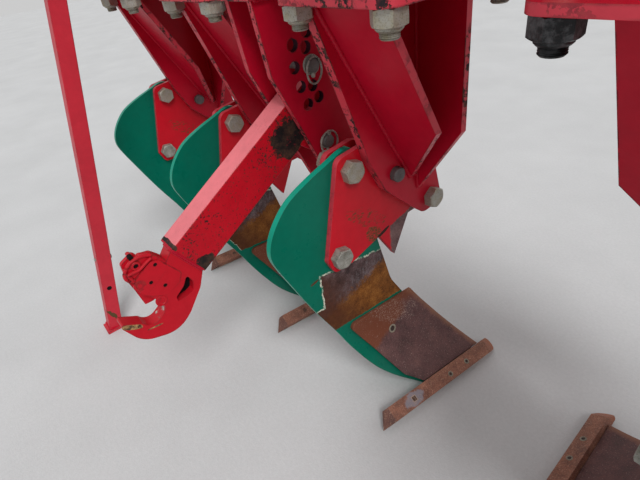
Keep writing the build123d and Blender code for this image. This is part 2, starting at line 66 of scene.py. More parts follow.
# Leg holders and carriers.  Rows of legs count from the middle of the machine, and x is that of the inner row.
# Bolts are (head face x, y, z), the shear bolt (y, z).
ROWS = (1, 2, 3)
ROW_PITCH = 500.0
PLATE = 12.0
FLANGE_UNDERSIDE = BEAM_UNDERSIDE - PLATE
FLANGE_MID = -211.0
BOLT_ROWS = (0.0, 246.0)
BOLT_COLUMNS = (FLANGE_MID - 100.0, FLANGE_MID + 100.0)
CHEEK_FACE, CHEEK_THICK = -298.0, 22.0
CARRIER_FACE, CARRIER_BACK = -320.2, -375.6
UPPER_BOLTS = ((CHEEK_FACE, 310, 538), (CARRIER_FACE, 80, 694))
LOWER_BOLTS = ((CARRIER_FACE, 25, 501),)
SHEAR_BOLT = (190, 649)

# Blades: flat, then one bend, then a flat foot.  The edge rows are (y, z) from the top round to the foot.
BLADE_FACE, BEND_START, BEND_RADIUS, BEND_TURN = -335.4, 238.0, 250.0, math.radians(60)
FOOT_SLOPE = math.pi / 2 - BEND_TURN
BLADE_THICK, BLADE_RIM, BLADE_RELIEF = 25.0, 15.0, 12.0
BLADE_REAR_EDGE = (
    (68, 732.5), (29, 719), (-12, 705.5), (-53, 688.5), (-81, 671), (-110, 641), (-129, 609), (-135.5, 576),
    (-126, 541), (-106, 492), (-77, 423), (-45, 352), (0, 262), (25, 206), (48, 158), (69, 119), (89, 89),
    (111, 66), (133, 48), (156, 33), (180, 19), (205, 8),
)
BLADE_FRONT_EDGE = ((225, 4, 0), (385, 4, 0), (300, 142, 200), (196, 320, 120), (150, 500, 60))

# Wear plates and point bars.  The plate's face and screw (y, z) are on the blade's hollow side; the bar's screws
# are (across, along) and its spare hole along, all from the middle of the bar.
WEAR_FACE = 10.2
WEAR_SCREW = (171, 166)
WEAR_SCREW_HEAD, WEAR_SCREW_SOCKET = 12.5, 7.5
BAR_TURN = math.radians(4.2)
BAR_MID = (-17.0, 221.0)
BAR_HALF, BAR_THICK, BAR_SEAT = 226.5, 25.0, 0.2
BAR_SCREWS = ((1.8, 98.4), (3.9, 29.4))
BAR_SCREW_HEAD, BAR_SCREW_SOCKET = 7.8, 4.2
BAR_SPARE_HOLE = -109.0

# Rear arms with their brackets: holes and pins are (y, z), the hook's cover holes (u, v) in the arm's own frame
BRACKET_FACES, BRACKET_THICK = (-455.0, -540.0), 15.0
PAD_ENDS, PAD_REAR, PAD_FRONT = (-445.0, -565.0), -10, 250
SPARE_HOLES = ((76, 931), (73, 888), (82, 847), (94, 806), (115, 950), (107, 920), (112, 842), (125, 814))
ARM_MID = -505.0
ARM_PIVOT = (129.0, 711.0)
ARM_SLOPE = math.radians(31.2)
LOCK_PIN = (114.0, 884.51)
PIN_RADIUS = 15.0
COVER_HOLES = ((482, 117), (473, 86), (446, 136))

# Hitch: faces of the plates off their middle; pins as (y, z), their reach to both sides of their middle, and radius
HITCH_MID = -482.5
HITCH_PLATES = ((60.0, 40.0), (-40.0, -60.0))
HITCH_PIN, HITCH_PIN_REACH, HITCH_PIN_RADIUS = (455, 620), 82, 18.3
TOP_PIN, TOP_PIN_REACH, TOP_PIN_RADIUS = (420, 1305), 72, 15.9

# Parking stands: heights run along the leaning leg from the floor
STAND_FOOT = (-1183.0, -420.0)
STAND_BACK, STAND_OUT = math.radians(12.2), math.radians(4.9)
STAND_HALF = 22.5
STAND_HOLES, STAND_BOLT, SLEEVE_PIN = (192, 1290), 306, 1175
SLEEVE_HALF = 29

# The camera's place, and its turns about Z, up from level and about its own axis
CAMERA_PLACE = (349.186, -466.521, BEAM_UNDERSIDE + 82.144)
CAMERA_YAW, CAMERA_PITCH, CAMERA_ROLL = math.radians(56.3486), math.radians(34.2601), math.radians(8.9253)
# Focal length as a share of the picture's width, and the width of the sensor in mm
FOCAL_SHARE, SENSOR = 455.587 / 640, 36.0


def spot(x, y, z):
    """A drawn point in the row frame, in metres."""
    return ORIGIN + Vector((x, y, z)) * MM


def arm_line(u, v):
    """Drawn y and z of a point of the arm: u along it from its pivot, v square to it."""
    y = ARM_PIVOT[0] - u * math.cos(ARM_SLOPE) - v * math.sin(ARM_SLOPE)
    z = ARM_PIVOT[1] - u * math.sin(ARM_SLOPE) + v * math.cos(ARM_SLOPE)
    return y, z


def arm_spot(u, v, x=0.0):
    """The same point in metres, x off the left arm's middle plane."""
    return spot(ARM_MID + x, *arm_line(u, v))


def side_spot(y, z, x):
    """A drawn point in metres, for plates that stand across the machine."""
    return spot(x, y, z)


def hollow_spot(y, turn, lift):
    """A point on the blade's hollow side at a turn of the bend, and the direction that faces away from it."""
    out = Vector((math.cos(turn), 0, math.sin(turn)))
    centre = Vector((BLADE_FACE + BEND_RADIUS, y, BEND_START))
    return ORIGIN + (centre - out * (BEND_RADIUS - lift)) * MM, out


def bar_axes():
    """Middle of the point bar's back, and its directions across, along and away from the blade."""
    down = Vector((math.cos(FOOT_SLOPE), 0, -math.sin(FOOT_SLOPE)))
    out = Vector((math.sin(FOOT_SLOPE), 0, math.cos(FOOT_SLOPE)))
    bend_end_x = BLADE_FACE + BEND_RADIUS * (1 - math.cos(BEND_TURN))
    bend_end = Vector((bend_end_x, 0, BEND_START - BEND_RADIUS * math.sin(BEND_TURN)))
    foot = bend_end + down * (bend_end.z / math.sin(FOOT_SLOPE))
    middle = foot + down * BAR_MID[0] + Vector((0, BAR_MID[1], 0)) + out * BAR_SEAT
    ahead = Vector((0, math.cos(BAR_TURN), 0)) + down * math.sin(BAR_TURN)
    across = down * math.cos(BAR_TURN) - Vector((0, math.sin(BAR_TURN), 0))
    return middle, across, ahead, out


# Mesh tools

FLAT_ANGLE = math.radians(0.3)


def square_axes(direction):
    """Two directions square to the given one and to each other."""
    first = direction.orthogonal().normalized()
    if abs(direction.x) > 0.9:
        first = Vector((0, 0, 1))
    if abs(direction.z) > 0.9:
        first = Vector((1, 0, 0))
    second = direction.cross(first).normalized()
    return second.cross(direction).normalized(), second


def skin(bm, rings, closed_ends=True):
    """Joins rings of vertices into a closed skin."""
    count = len(rings[0])
    for low, high in zip(rings, rings[1:]):
        for i in range(count):
            j = (i + 1) % count
            bm.faces.new((low[i], low[j], high[j], high[i]))
    if closed_ends:
        bm.faces.new(list(reversed(rings[0])))
        bm.faces.new(rings[-1])


def turned(bm, base, direction, profile, sides=24, spin=0.0, shape=None):
    """A turned piece: profile rows are (along, radius) in mm from base; shape may bend a row by angle."""
    direction = direction.normalized()
    first, second = square_axes(direction)
    rings = []
    for along, radius in profile:
        ring = []
        for i in range(sides):
            angle = 2 * math.pi * i / sides + spin
            a, r = shape(along, radius, angle - spin) if shape else (along, radius)
            offset = direction * a + (first * math.cos(angle) + second * math.sin(angle)) * r
            ring.append(bm.verts.new(base + offset * MM))
        rings.append(ring)
    skin(bm, rings)


def hexagon(radius, angle):
    """Reach of a hexagon with that inner radius at an angle."""
    third = math.pi / 3
    return radius / math.cos((angle + third / 2) % third - third / 2)


def hex_block(bm, base, direction, flats, height, spin=0.0, chamfer_foot=False):
    """A hexagon with the turned chamfer of a bolt head or nut."""
    inner = flats / 2
    face = inner * 0.93

    def shape(along, radius, angle):
        """Bends the rows that are wider than the inner circle out to the hexagon."""
        if radius < inner:
            return along, radius
        reach = hexagon(inner, angle)
        drop = (reach - face) * 0.5
        return (along - drop, reach) if along > 0 else (along + (drop if chamfer_foot else 0), reach)

    rows = [(0, inner), (height, inner), (height, face), (height - 0.6, face - 1.5)]
    if chamfer_foot:
        rows.insert(0, (0, face))
    turned(bm, base, direction, rows, sides=48, spin=spin, shape=shape)


def thread_end(bm, base, direction, radius, length):
    """A bolt's end with its thread and a chamfered tip."""
    rows = []
    along = 0.0
    while along < length - 3:
        rows += [(along, radius), (along + 1.0, radius - 1.3)]
        along += 2.2
    rows += [(length - 2.5, radius), (length, radius - 2.5)]
    turned(bm, base, direction, rows, sides=24)


def washer(bm, base, direction, radius, thick):
    """A flat ring with broken edges, closed by what runs through it."""
    small = radius - 0.6
    turned(bm, base, direction, [(0, small), (0.6, radius), (thick - 0.6, radius), (thick, small)], sides=32)


def lock_nut(bm, base, direction, flats, spin=0.0):
    """A nut with a round collar, and the bolt's end coming out of it."""
    hex_block(bm, base, direction, flats, flats * 0.54, spin, chamfer_foot=True)
    collar = base + direction.normalized() * (flats * 0.5 * MM)
    r = flats * 0.42
    rows = [(0, r), (flats * 0.1, r), (flats * 0.16, r * 0.86), (flats * 0.17, r * 0.74)]
    turned(bm, collar, direction, rows, sides=32)
    thread_end(bm, base, direction, flats * 0.315, flats * 0.89)


def wire_path(bm, points, wire, sides=10):
    """Round wire through points, in metres."""
    rings = []
    for i, point in enumerate(points):
        ahead = (points[min(i + 1, len(points) - 1)] - points[max(i - 1, 0)]).normalized()
        first, second = square_axes(ahead)
        outs = [first * math.cos(t) + second * math.sin(t) for t in circle(sides)]
        rings.append([bm.verts.new(point + out * wire * MM) for out in outs])
    skin(bm, rings)


def smooth_path(points, steps):
    """Points on a smooth line through the given ones."""
    made = []
    last = len(points) - 1
    for i in range(last):
        before, a, b, after = points[max(i - 1, 0)], points[i], points[i + 1], points[min(i + 2, last)]
        bend = 2 * before - 5 * a + 4 * b - after
        twist = 3 * a - before - 3 * b + after
        for k in range(steps):
            t = k / steps
            made.append(0.5 * (2 * a + (b - before) * t + bend * t**2 + twist * t**3))
    return made + [points[-1]]


def rounded(rows, step=math.radians(12)):
    """A closed outline from corner rows (a, b, radius), with arcs at its corners."""
    points = []
    count = len(rows)
    for i, (a, b, radius) in enumerate(rows):
        here = Vector((a, b))
        back = (Vector(rows[i - 1][:2]) - here).normalized()
        ahead = (Vector(rows[(i + 1) % count][:2]) - here).normalized()
        half = back.angle(ahead) / 2
        if radius <= 0 or half > math.radians(88):
            points.append(here)
            continue
        reach = radius / math.tan(half)
        centre = here + (back + ahead).normalized() * radius / math.sin(half)
        start, end = here + back * reach - centre, here + ahead * reach - centre
        sweep = start.angle_signed(end)
        steps = max(2, round(abs(sweep) / step))
        for k in range(steps + 1):
            points.append(centre + Matrix.Rotation(-sweep * k / steps, 2) @ start)
    return points


def circle(count):
    """Evenly spaced angles once round."""
    return [2 * math.pi * k / count for k in range(count)]


def circle_points(a, b, radius, count=32):
    """A circle as an outline."""
    return [Vector((a + radius * math.cos(t), b + radius * math.sin(t))) for t in circle(count)]


def cut_plate(bm, place, outline, holes, low, high):
    """A plate between two offsets, with holes; place(a, b, offset) gives a point in metres."""
    edges = []
    for loop in [outline] + list(holes):
        verts = [bm.verts.new(place(p.x, p.y, low)) for p in loop]
        edges += [bm.edges.new((verts[i - 1], verts[i])) for i in range(len(verts))]
    filled = bmesh.ops.triangle_fill(bm, use_beauty=True, edges=edges)["geom"]
    faces = [g for g in filled if isinstance(g, bmesh.types.BMFace)]
    shift = place(0, 0, high) - place(0, 0, low)
    bmesh.ops.recalc_face_normals(bm, faces=faces)
    if faces[0].normal.dot(shift) > 0:
        bmesh.ops.reverse_faces(bm, faces=faces)
    top = bmesh.ops.extrude_face_region(bm, geom=faces, use_keep_orig=True)["geom"]
    verts = [g for g in top if isinstance(g, bmesh.types.BMVert)]
    bmesh.ops.translate(bm, verts=verts, vec=shift)


def bead(bm, path, radius, seed=1):
    """A weld bead with its ripples along straight runs between points, in metres."""
    ripple = 0.0028
    draw = random.Random(seed)
    for start, end in zip(path, path[1:]):
        run = end - start
        count = max(3, int(run.length / ripple))
        first, second = square_axes(run.normalized())
        rings = []
        for i in range(count + 1):
            swell = radius * (1 + 0.10 * math.sin(i * 2.1) + draw.uniform(-0.06, 0.06))
            if i in (0, count):
                swell *= 0.35
            wander = first * draw.uniform(-0.3, 0.3) + second * draw.uniform(-0.3, 0.3)
            middle = start + run * (i / count) + wander * MM
            outs = [first * math.cos(a) + second * math.sin(a) for a in circle(8)]
            rings.append([bm.verts.new(middle + out * swell * MM) for out in outs])
        skin(bm, rings)


def add_mirror_image(bm):
    """Adds the right half's mirror image of everything made so far."""
    copied = bmesh.ops.duplicate(bm, geom=bm.verts[:] + bm.edges[:] + bm.faces[:])["geom"]
    for part in copied:
        if isinstance(part, bmesh.types.BMVert):
            part.co.x = -part.co.x
    bmesh.ops.reverse_faces(bm, faces=[part for part in copied if isinstance(part, bmesh.types.BMFace)])


def turn_to_side(bm, side):
    """Mirrors a left piece to the right side."""
    if side == "right":
        for vert in bm.verts:
            vert.co.x = -vert.co.x
        bmesh.ops.reverse_faces(bm, faces=bm.faces[:])


def built_once(name):
    """Lets a function that builds a node group hand out the one already built, where there is one."""

    def wrap(build):
        return lambda: bpy.data.node_groups.get(name) or build(name)

    return wrap


def make_piece(name, bm, finish, body="frame", crease=35.0, edge=0.0, replaces=()):
    """Turns a mesh into a finished piece that rides on a body."""
    mesh = bpy.data.meshes.new(name)
    bm.normal_update()
    bm.to_mesh(mesh)
    bm.free()
    for face in mesh.polygons:
        face.use_smooth = True
    mesh.set_sharp_from_angle(angle=math.radians(crease))
    mesh.materials.append(finish)
    piece = bpy.data.objects.new(name, mesh)
    bpy.context.scene.collection.objects.link(piece)
    if edge:
        round_edges(piece, edge)
    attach(piece, body)
    if replaces:
        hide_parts(*replaces)
    return piece


def round_edges(piece, width, angle=30.0):
    """Rounds a piece's sharp edges by a width in mm."""
    bevel = piece.modifiers.new("edge rounding", "BEVEL")
    bevel.width = width * MM
    bevel.segments = 2
    bevel.limit_method = "ANGLE"
    bevel.angle_limit = math.radians(angle)
    bevel.harden_normals = True
    return bevel


@built_once("join and smooth facets")
def smoothing_tree(name):
    """Joins a CAD node's facets and smooths them where they meet at a small angle."""
    tree = bpy.data.node_groups.new(name, "GeometryNodeTree")
    tree.interface.new_socket("Geometry", in_out="INPUT", socket_type="NodeSocketGeometry")
    tree.interface.new_socket("Geometry", in_out="OUTPUT", socket_type="NodeSocketGeometry")
    start = tree.nodes.new("NodeGroupInput")
    join = tree.nodes.new("GeometryNodeMergeByDistance")
    join.inputs["Distance"].default_value = 0.00002
    smooth = tree.nodes.new("GeometryNodeSetShadeSmooth")
    angle = tree.nodes.new("GeometryNodeInputMeshEdgeAngle")
    sharp = tree.nodes.new("FunctionNodeCompare")
    sharp.operation = "GREATER_THAN"
    sharp.inputs[1].default_value = math.radians(28)
    crease = tree.nodes.new("GeometryNodeSetShadeSmooth")
    crease.domain = "EDGE"
    crease.inputs["Shade Smooth"].default_value = False
    end = tree.nodes.new("NodeGroupOutput")
    tree.links.new(start.outputs[0], join.inputs["Geometry"])
    tree.links.new(join.outputs[0], smooth.inputs["Geometry"])
    tree.links.new(smooth.outputs[0], crease.inputs["Geometry"])
    tree.links.new(angle.outputs["Unsigned Angle"], sharp.inputs[0])
    tree.links.new(sharp.outputs["Result"], crease.inputs["Selection"])
    tree.links.new(crease.outputs[0], end.inputs[0])
    return tree


def dress_node(name, finish, edge=1.2):
    """Gives a CAD node its finish and rounds its edges."""
    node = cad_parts[name]
    if node.material_slots:
        for slot in node.material_slots:
            slot.material = finish
    else:
        node.data.materials.append(finish)
    join = node.modifiers.new("join facets", "NODES")
    join.node_group = smoothing_tree()
    if edge:
        flat = node.modifiers.new("flat faces", "DECIMATE")
        flat.decimate_type = "DISSOLVE"
        flat.angle_limit = FLAT_ANGLE
        round_edges(node, edge)


# Shader tools


class Web:
    """A node tree with short ways to add its nodes."""

    def __init__(self, tree):
        self.tree = tree

    def node(self, kind, **settings):
        """Adds a node with its settings."""
        made = self.tree.nodes.new(kind)
        for name, value in settings.items():
            setattr(made, name, value)
        return made

    def feed(self, socket, value):
        """Links an output to a socket, or sets its value; a colour of three gets its alpha."""
        if isinstance(value, bpy.types.NodeSocket):
            self.tree.links.new(value, socket)
        elif value is not None:
            if hasattr(socket.default_value, "__len__") and len(socket.default_value) == 4 and len(value) == 3:
                value = (*value, 1.0)
            socket.default_value = value

    def math(self, operation, a, b=None, c=None):
        made = self.node("ShaderNodeMath", operation=operation)
        for socket, value in zip(made.inputs, (a, b, c)):
            self.feed(socket, value)
        return made.outputs[0]

    def mix(self, share, a, b):
        """A mix of two colours."""
        made = self.node("ShaderNodeMix", data_type="RGBA")
        self.feed(made.inputs[0], share)
        self.feed(made.inputs[6], a)
        self.feed(made.inputs[7], b)
        return made.outputs[2]

    def blend(self, share, a, b):
        """A mix of two values."""
        made = self.node("ShaderNodeMix", data_type="FLOAT")
        self.feed(made.inputs[0], share)
        self.feed(made.inputs[2], a)
        self.feed(made.inputs[3], b)
        return made.outputs[0]

    def chain(self, operation, values):
        """One operation applied to all the values in turn."""
        return reduce(lambda total, value: self.math(operation, total, value), values)

    def times(self, *values):
        return self.chain("MULTIPLY", values)

    def plus(self, *values):
        return self.chain("ADD", values)

    def larger(self, *values):
        return self.chain("MAXIMUM", values)

    def minus(self, a, b):
        return self.math("SUBTRACT", a, b)

    def inverse(self, mask):
        return self.minus(1.0, mask)

    def above(self, value, limit):
        return self.math("GREATER_THAN", value, limit)

    def below(self, value, limit):
        return self.math("LESS_THAN", value, limit)

    def range(self, value, low, high, to_low=0.0, to_high=1.0):
        """The value's share of the way from low to high, clamped and spread over the other two."""
        made = self.node("ShaderNodeMapRange", clamp=True)
        for socket, v in zip(made.inputs, (value, low, high, to_low, to_high)):
            self.feed(socket, v)
        return made.outputs[0]

    def coords(self):
        """Places in the piece's own object space, in metres."""
        return self.node("ShaderNodeTexCoord").outputs["Object"]

    def facing(self, axis):
        """The surface's direction along an axis of its own object, -1 to 1."""
        return self.split(self.node("ShaderNodeTexCoord").outputs["Normal"])[axis]

    def noise(self, vector, scale, detail=3.0, rough=0.55):
        made = self.node("ShaderNodeTexNoise")
        for name, value in (("Vector", vector), ("Scale", scale), ("Detail", detail), ("Roughness", rough)):
            self.feed(made.inputs[name], value)
        return made.outputs[0]

    def scaled(self, vector, factors):
        made = self.node("ShaderNodeVectorMath", operation="MULTIPLY")
        self.feed(made.inputs[0], vector)
        self.feed(made.inputs[1], factors)
        return made.outputs[0]

    def split(self, vector):
        made = self.node("ShaderNodeSeparateXYZ")
        self.feed(made.inputs[0], vector)
        return made.outputs[0], made.outputs[1], made.outputs[2]

    def group(self, tree, **values):
        """Places a group with its values, and gives its outputs."""
        made = self.node("ShaderNodeGroup")
        made.node_tree = tree
        for name, value in values.items():
            self.feed(made.inputs[name.replace("_", " ")], value)
        return made.outputs


def effect(name, inputs, outputs):
    """An empty shader group with named inputs and outputs, and its web, input and output nodes."""
    tree = bpy.data.node_groups.new(name, "ShaderNodeTree")
    kinds = {"value": "NodeSocketFloat", "colour": "NodeSocketColor", "vector": "NodeSocketVector"}
    for label, kind in inputs:
        tree.interface.new_socket(label, in_out="INPUT", socket_type=kinds[kind])
    for label, kind in outputs:
        tree.interface.new_socket(label, in_out="OUTPUT", socket_type=kinds[kind])
    web = Web(tree)
    return tree, web, web.node("NodeGroupInput").outputs, web.node("NodeGroupOutput").inputs


def finish_material(name, metallic=0.0, coat=0.0, coat_rough=0.1, level=0.5):
    """A material and its web; constants sit on the shader's own sockets."""
    material = bpy.data.materials.new(name)
    material.use_nodes = True
    shader = material.node_tree.nodes["Principled BSDF"]
    shader.inputs["Metallic"].default_value = metallic
    shader.inputs["Coat Weight"].default_value = coat
    shader.inputs["Coat Roughness"].default_value = coat_rough
    shader.inputs["Specular IOR Level"].default_value = level
    return material, Web(material.node_tree), shader


def finish_surface(web, shader, colour, rough, height, depth=0.0006):
    """Feeds a shader its colour, roughness and relief; depth is the relief's height in metres."""
    web.feed(shader.inputs["Base Color"], colour)
    web.feed(shader.inputs["Roughness"], rough)
    bump = web.node("ShaderNodeBump")
    bump.inputs["Distance"].default_value = depth
    bump.inputs["Strength"].default_value = 1.0
    web.feed(bump.inputs["Height"], height)
    web.feed(shader.inputs["Normal"], bump.outputs[0])


def tone(*levels):
    """A colour as read off a picture, 0 to 255, as the linear colour that a shader takes."""
    shares = [level / 255 for level in levels]
    return tuple(c / 12.92 if c <= 0.04045 else ((c + 0.055) / 1.055) ** 2.4 for c in shares)


# Shader groups, each built once


@built_once("worn edges")
def edge_group(name):
    """A mask along the edges of a piece, broken up by noise."""
    tree, web, given, out = effect(name, [("Width", "value"), ("Breakup", "value")], [("Mask", "value")])
    rounded_normal = web.node("ShaderNodeBevel", samples=6)
    web.feed(rounded_normal.inputs["Radius"], given["Width"])
    plain = web.node("ShaderNodeNewGeometry")
    near = web.node("ShaderNodeVectorMath", operation="DOT_PRODUCT")
    web.feed(near.inputs[0], rounded_normal.outputs[0])
    web.feed(near.inputs[1], plain.outputs["Normal"])
    edge = web.range(near.outputs["Value"], 0.998, 0.93)
    grit = web.noise(web.coords(), given["Breakup"], 4.0, 0.65)
    web.feed(out["Mask"], web.range(web.plus(edge, web.times(grit, 1.6)), 1.66, 1.74))
    return tree


@built_once("dust")
def dust_group(name):
    """Pale dust that lies on faces turned upward and in blotches elsewhere."""
    inputs = [("Colour", "colour"), ("Roughness", "value"), ("Dust Colour", "colour"), ("Amount", "value")]
    tree, web, given, out = effect(name, inputs, [("Colour", "colour"), ("Roughness", "value")])
    where = web.coords()
    facing = web.split(web.node("ShaderNodeNewGeometry").outputs["Normal"])[2]
    upward = web.range(facing, 0.2, 1.0, 0.15, 1.0)
    blotch = web.range(web.noise(where, 11.0, 6.0, 0.7), 0.35, 0.75)
    fine = web.range(web.noise(where, 160.0, 3.0, 0.7), 0.3, 0.7, 0.6, 1.0)
    share = web.times(upward, blotch, fine, given["Amount"])
    web.feed(out["Colour"], web.mix(share, given["Colour"], given["Dust Colour"]))
    web.feed(out["Roughness"], web.blend(share, given["Roughness"], 0.9))
    return tree


@built_once("worn paint")
def paint_group(name):
    """Sprayed paint: slight orange peel, fading, small chips down to dark primer and chipped edges, and a lighter Edge
    Highlight tint where Edge Mask is high, which is painted highlight.
    """
    inputs = [
        ("Paint", "colour"),
        ("Edge Paint", "colour"),
        ("Edge Mask", "value"),
        ("Chip Colour", "colour"),
        ("Chips", "value"),
        ("Edge Chips", "value"),
        ("Edge Width", "value"),
        ("Flakes", "value"),
        ("Lumps", "value"),
        ("Gloss", "value"),
    ]
    outputs = [("Colour", "colour"), ("Roughness", "value"), ("Height", "value")]
    tree, web, given, out = effect(name, inputs, outputs)
    where = web.coords()
    fade = web.range(web.noise(where, 5.0, 5.0, 0.6), 0.3, 0.7, 0.86, 1.06)
    dapple = web.range(web.noise(where, 60.0, 3.0, 0.6), 0.3, 0.7, 0.95, 1.04)
    # Edge Highlight mixed in along Edge Mask is painted highlight, not a different paint.
    both = web.mix(given["Edge Mask"], given["Paint"], given["Edge Paint"])
    shade = web.node("ShaderNodeVectorMath", operation="SCALE")
    web.feed(shade.inputs[0], both)
    web.feed(shade.inputs["Scale"], web.times(fade, dapple))
    grit = web.noise(where, 190.0, 5.0, 0.7)
    clusters = web.range(web.noise(where, 13.0, 3.0, 0.6), 0.48, 0.72)
    small = web.plus(grit, web.times(clusters, 0.10))
    limit = web.minus(0.84, web.times(given["Chips"], 0.14))
    specks = web.above(small, limit)
    specks = web.times(specks, web.math("MULTIPLY_ADD", given["Edge Mask"], -0.9, 1.0))
    edges = web.group(edge_group(), Width=given["Edge Width"], Breakup=55.0)["Mask"]
    patches = web.range(web.noise(where, 9.0, 3.0, 0.6), 0.38, 0.52)
    flakes = web.range(web.noise(where, 62.0, 5.0, 0.72), 0.53, 0.55)
    flakes = web.times(flakes, given["Edge Mask"], patches, given["Flakes"])
    edge_chips = web.times(web.larger(web.times(edges, patches), flakes), given["Edge Chips"])
    chip = web.math("MINIMUM", web.larger(specks, edge_chips), 1.0)
    rust = web.mix(web.range(web.noise(where, 90.0, 4.0, 0.7), 0.45, 0.65), given["Chip Colour"], tone(96, 62, 50))
    web.feed(out["Colour"], web.mix(chip, shade.outputs[0], rust))
    rough = web.plus(given["Gloss"], web.range(web.noise(where, 25.0, 4.0, 0.6), 0.3, 0.7, -0.06, 0.10))
    web.feed(out["Roughness"], web.blend(chip, rough, 0.8))
    peel = web.times(web.noise(where, 420.0, 2.0, 0.5), 0.10)
    waves = web.times(web.noise(where, 30.0, 2.0, 0.5), 0.25)
    lumps = web.times(web.noise(where, 75.0, 4.0, 0.6), given["Lumps"])
    web.feed(out["Height"], web.minus(web.plus(peel, waves, lumps), web.times(chip, 0.5)))
    return tree


@built_once("weathered steel")
def rust_group(name):
    """Bare steel browned by the weather, in patches from dark scale to orange."""
    inputs = [(tint, "colour") for tint in ("Dark", "Middle", "Bright")] + [("Brightness", "value"), ("Scale", "value")]
    outputs = [("Colour", "colour"), ("Roughness", "value"), ("Height", "value")]
    tree, web, given, out = effect(name, inputs, outputs)
    where = web.coords()
    size = given["Scale"]
    broad = web.noise(where, size, 6.0, 0.68)
    fine = web.noise(where, web.times(size, 12.0), 5.0, 0.7)
    mixed = web.plus(web.times(broad, 0.5), web.times(fine, 0.5), given["Brightness"])
    dark_part = web.mix(web.range(mixed, 0.36, 0.52), given["Dark"], given["Middle"])
    colour = web.mix(web.range(mixed, 0.52, 0.70), dark_part, given["Bright"])
    pits = web.range(fine, 0.60, 0.75)
    web.feed(out["Colour"], web.mix(web.times(pits, 0.55), colour, given["Dark"]))
    web.feed(out["Roughness"], web.range(mixed, 0.3, 0.7, 0.48, 0.86))
    web.feed(out["Height"], web.minus(web.times(fine, 0.8), web.times(pits, 0.6)))
    return tree


def drawn_place(web):
    """Drawn coordinates in mm on either half, with X as the distance into a leg's own row."""
    x, y, z = web.split(web.coords())
    side = web.math("ABSOLUTE", x)
    across = web.times(web.math("MODULO", side, ROW_PITCH * MM), 1 / MM)
    ahead = web.times(web.minus(y, ORIGIN.y), 1 / MM)
    up = web.times(web.minus(z, ORIGIN.z), 1 / MM)
    return side, across, ahead, up


def turned_to(web, axis):
    """How squarely the surface faces along an axis of its own object, 0 to 1."""
    return web.math("ABSOLUTE", web.facing(axis))


def between(web, value, middle, half):
    """One where the value is less than half away from the middle."""
    return web.below(web.math("ABSOLUTE", web.minus(value, middle)), half)


def below_line(web, ahead, up, start, end, soft=2.0):
    """One where a point lies below the line through two drawn points (y, z), fading over soft mm."""
    slope = (end[1] - start[1]) / (end[0] - start[0])
    line = web.math("MULTIPLY_ADD", ahead, slope, start[1] - slope * start[0])
    gap = web.minus(line, up)
    return web.range(gap, -soft, soft)


def ragged(web, value, scale, reach):
    """The value moved to and fro by noise, for a ragged border."""
    grit = web.noise(web.coords(), scale, 5.0, 0.65)
    return web.plus(value, web.range(grit, 0.0, 1.0, -reach, reach))


def ellipse_patch(web, ahead, up, middle, half, turn=0.0, rag=0.6):
    """A ragged patch round a drawn point (y, z)."""
    dy = web.minus(ahead, middle[0])
    dz = web.minus(up, middle[1])
    c, s = math.cos(turn), math.sin(turn)
    a = web.plus(web.times(dy, c / half[0]), web.times(dz, s / half[0]))
    b = web.plus(web.times(dy, -s / half[1]), web.times(dz, c / half[1]))
    reach = web.math("SQRT", web.plus(web.times(a, a), web.times(b, b)))
    return web.range(ragged(web, reach, 45.0, rag), 1.06, 0.94)


# Finishes


def paint_finish(
    name,
    colour,
    edge_highlight_colour=None,
    edges=None,
    marks=(),
    chips=0.35,
    edge_chips=1.0,
    flakes=1.0,
    lumps=0.0,
    gloss=0.36,
    dust=0.25,
):
    """Worn paint.  edges takes the web and gives a mask where edge_highlight_colour is painted as highlight; marks are
    rows of such a mask, its colour and roughness.
    """
    material, web, shader = finish_material(name, coat=0.04, coat_rough=0.25, level=0.16)
    worn = web.group(
        paint_group(),
        Paint=colour,
        Edge_Paint=edge_highlight_colour or colour,
        Edge_Mask=edges(web) if edges else 0.0,
        Chip_Colour=tone(38, 30, 34),
        Chips=chips,
        Edge_Chips=edge_chips,
        Edge_Width=0.005,
        Flakes=flakes,
        Lumps=lumps,
        Gloss=gloss,
    )
    tint, rough, height = worn["Colour"], worn["Roughness"], worn["Height"]
    for mask_of, mark, mark_rough in marks:
        mask = mask_of(web)
        tint = web.mix(mask, tint, mark(web) if callable(mark) else mark)
        rough = web.blend(mask, rough, mark_rough)
        height = web.minus(height, web.times(mask, 0.25))
    dusty = web.group(dust_group(), Colour=tint, Roughness=rough, Dust_Colour=tone(176, 160, 150), Amount=dust)
    finish_surface(web, shader, dusty["Colour"], dusty["Roughness"], height)
    return material


def steel_tints(web, dark, middle, bright, brightness, scale):
    """Weathered steel in three tints; scale is how fine its patches are."""
    return web.group(rust_group(), Dark=dark, Middle=middle, Bright=bright, Brightness=brightness, Scale=scale)


def steel_finish(name, tints, scale, metallic=0.3, dust=0.0, extra=None):
    """Bare weathered steel; extra takes the web, colour and roughness and gives both with marks of the piece."""
    material, web, shader = finish_material(name, metallic=metallic)
    steel = steel_tints(web, *tints, 0.0, scale)
    colour, rough = steel["Colour"], steel["Roughness"]
    if extra:
        colour, rough = extra(web, colour, rough)
    dusty = web.group(dust_group(), Colour=colour, Roughness=rough, Dust_Colour=tone(168, 150, 136), Amount=dust)
    finish_surface(web, shader, dusty["Colour"], dusty["Roughness"], steel["Height"], 0.0008)
    return material


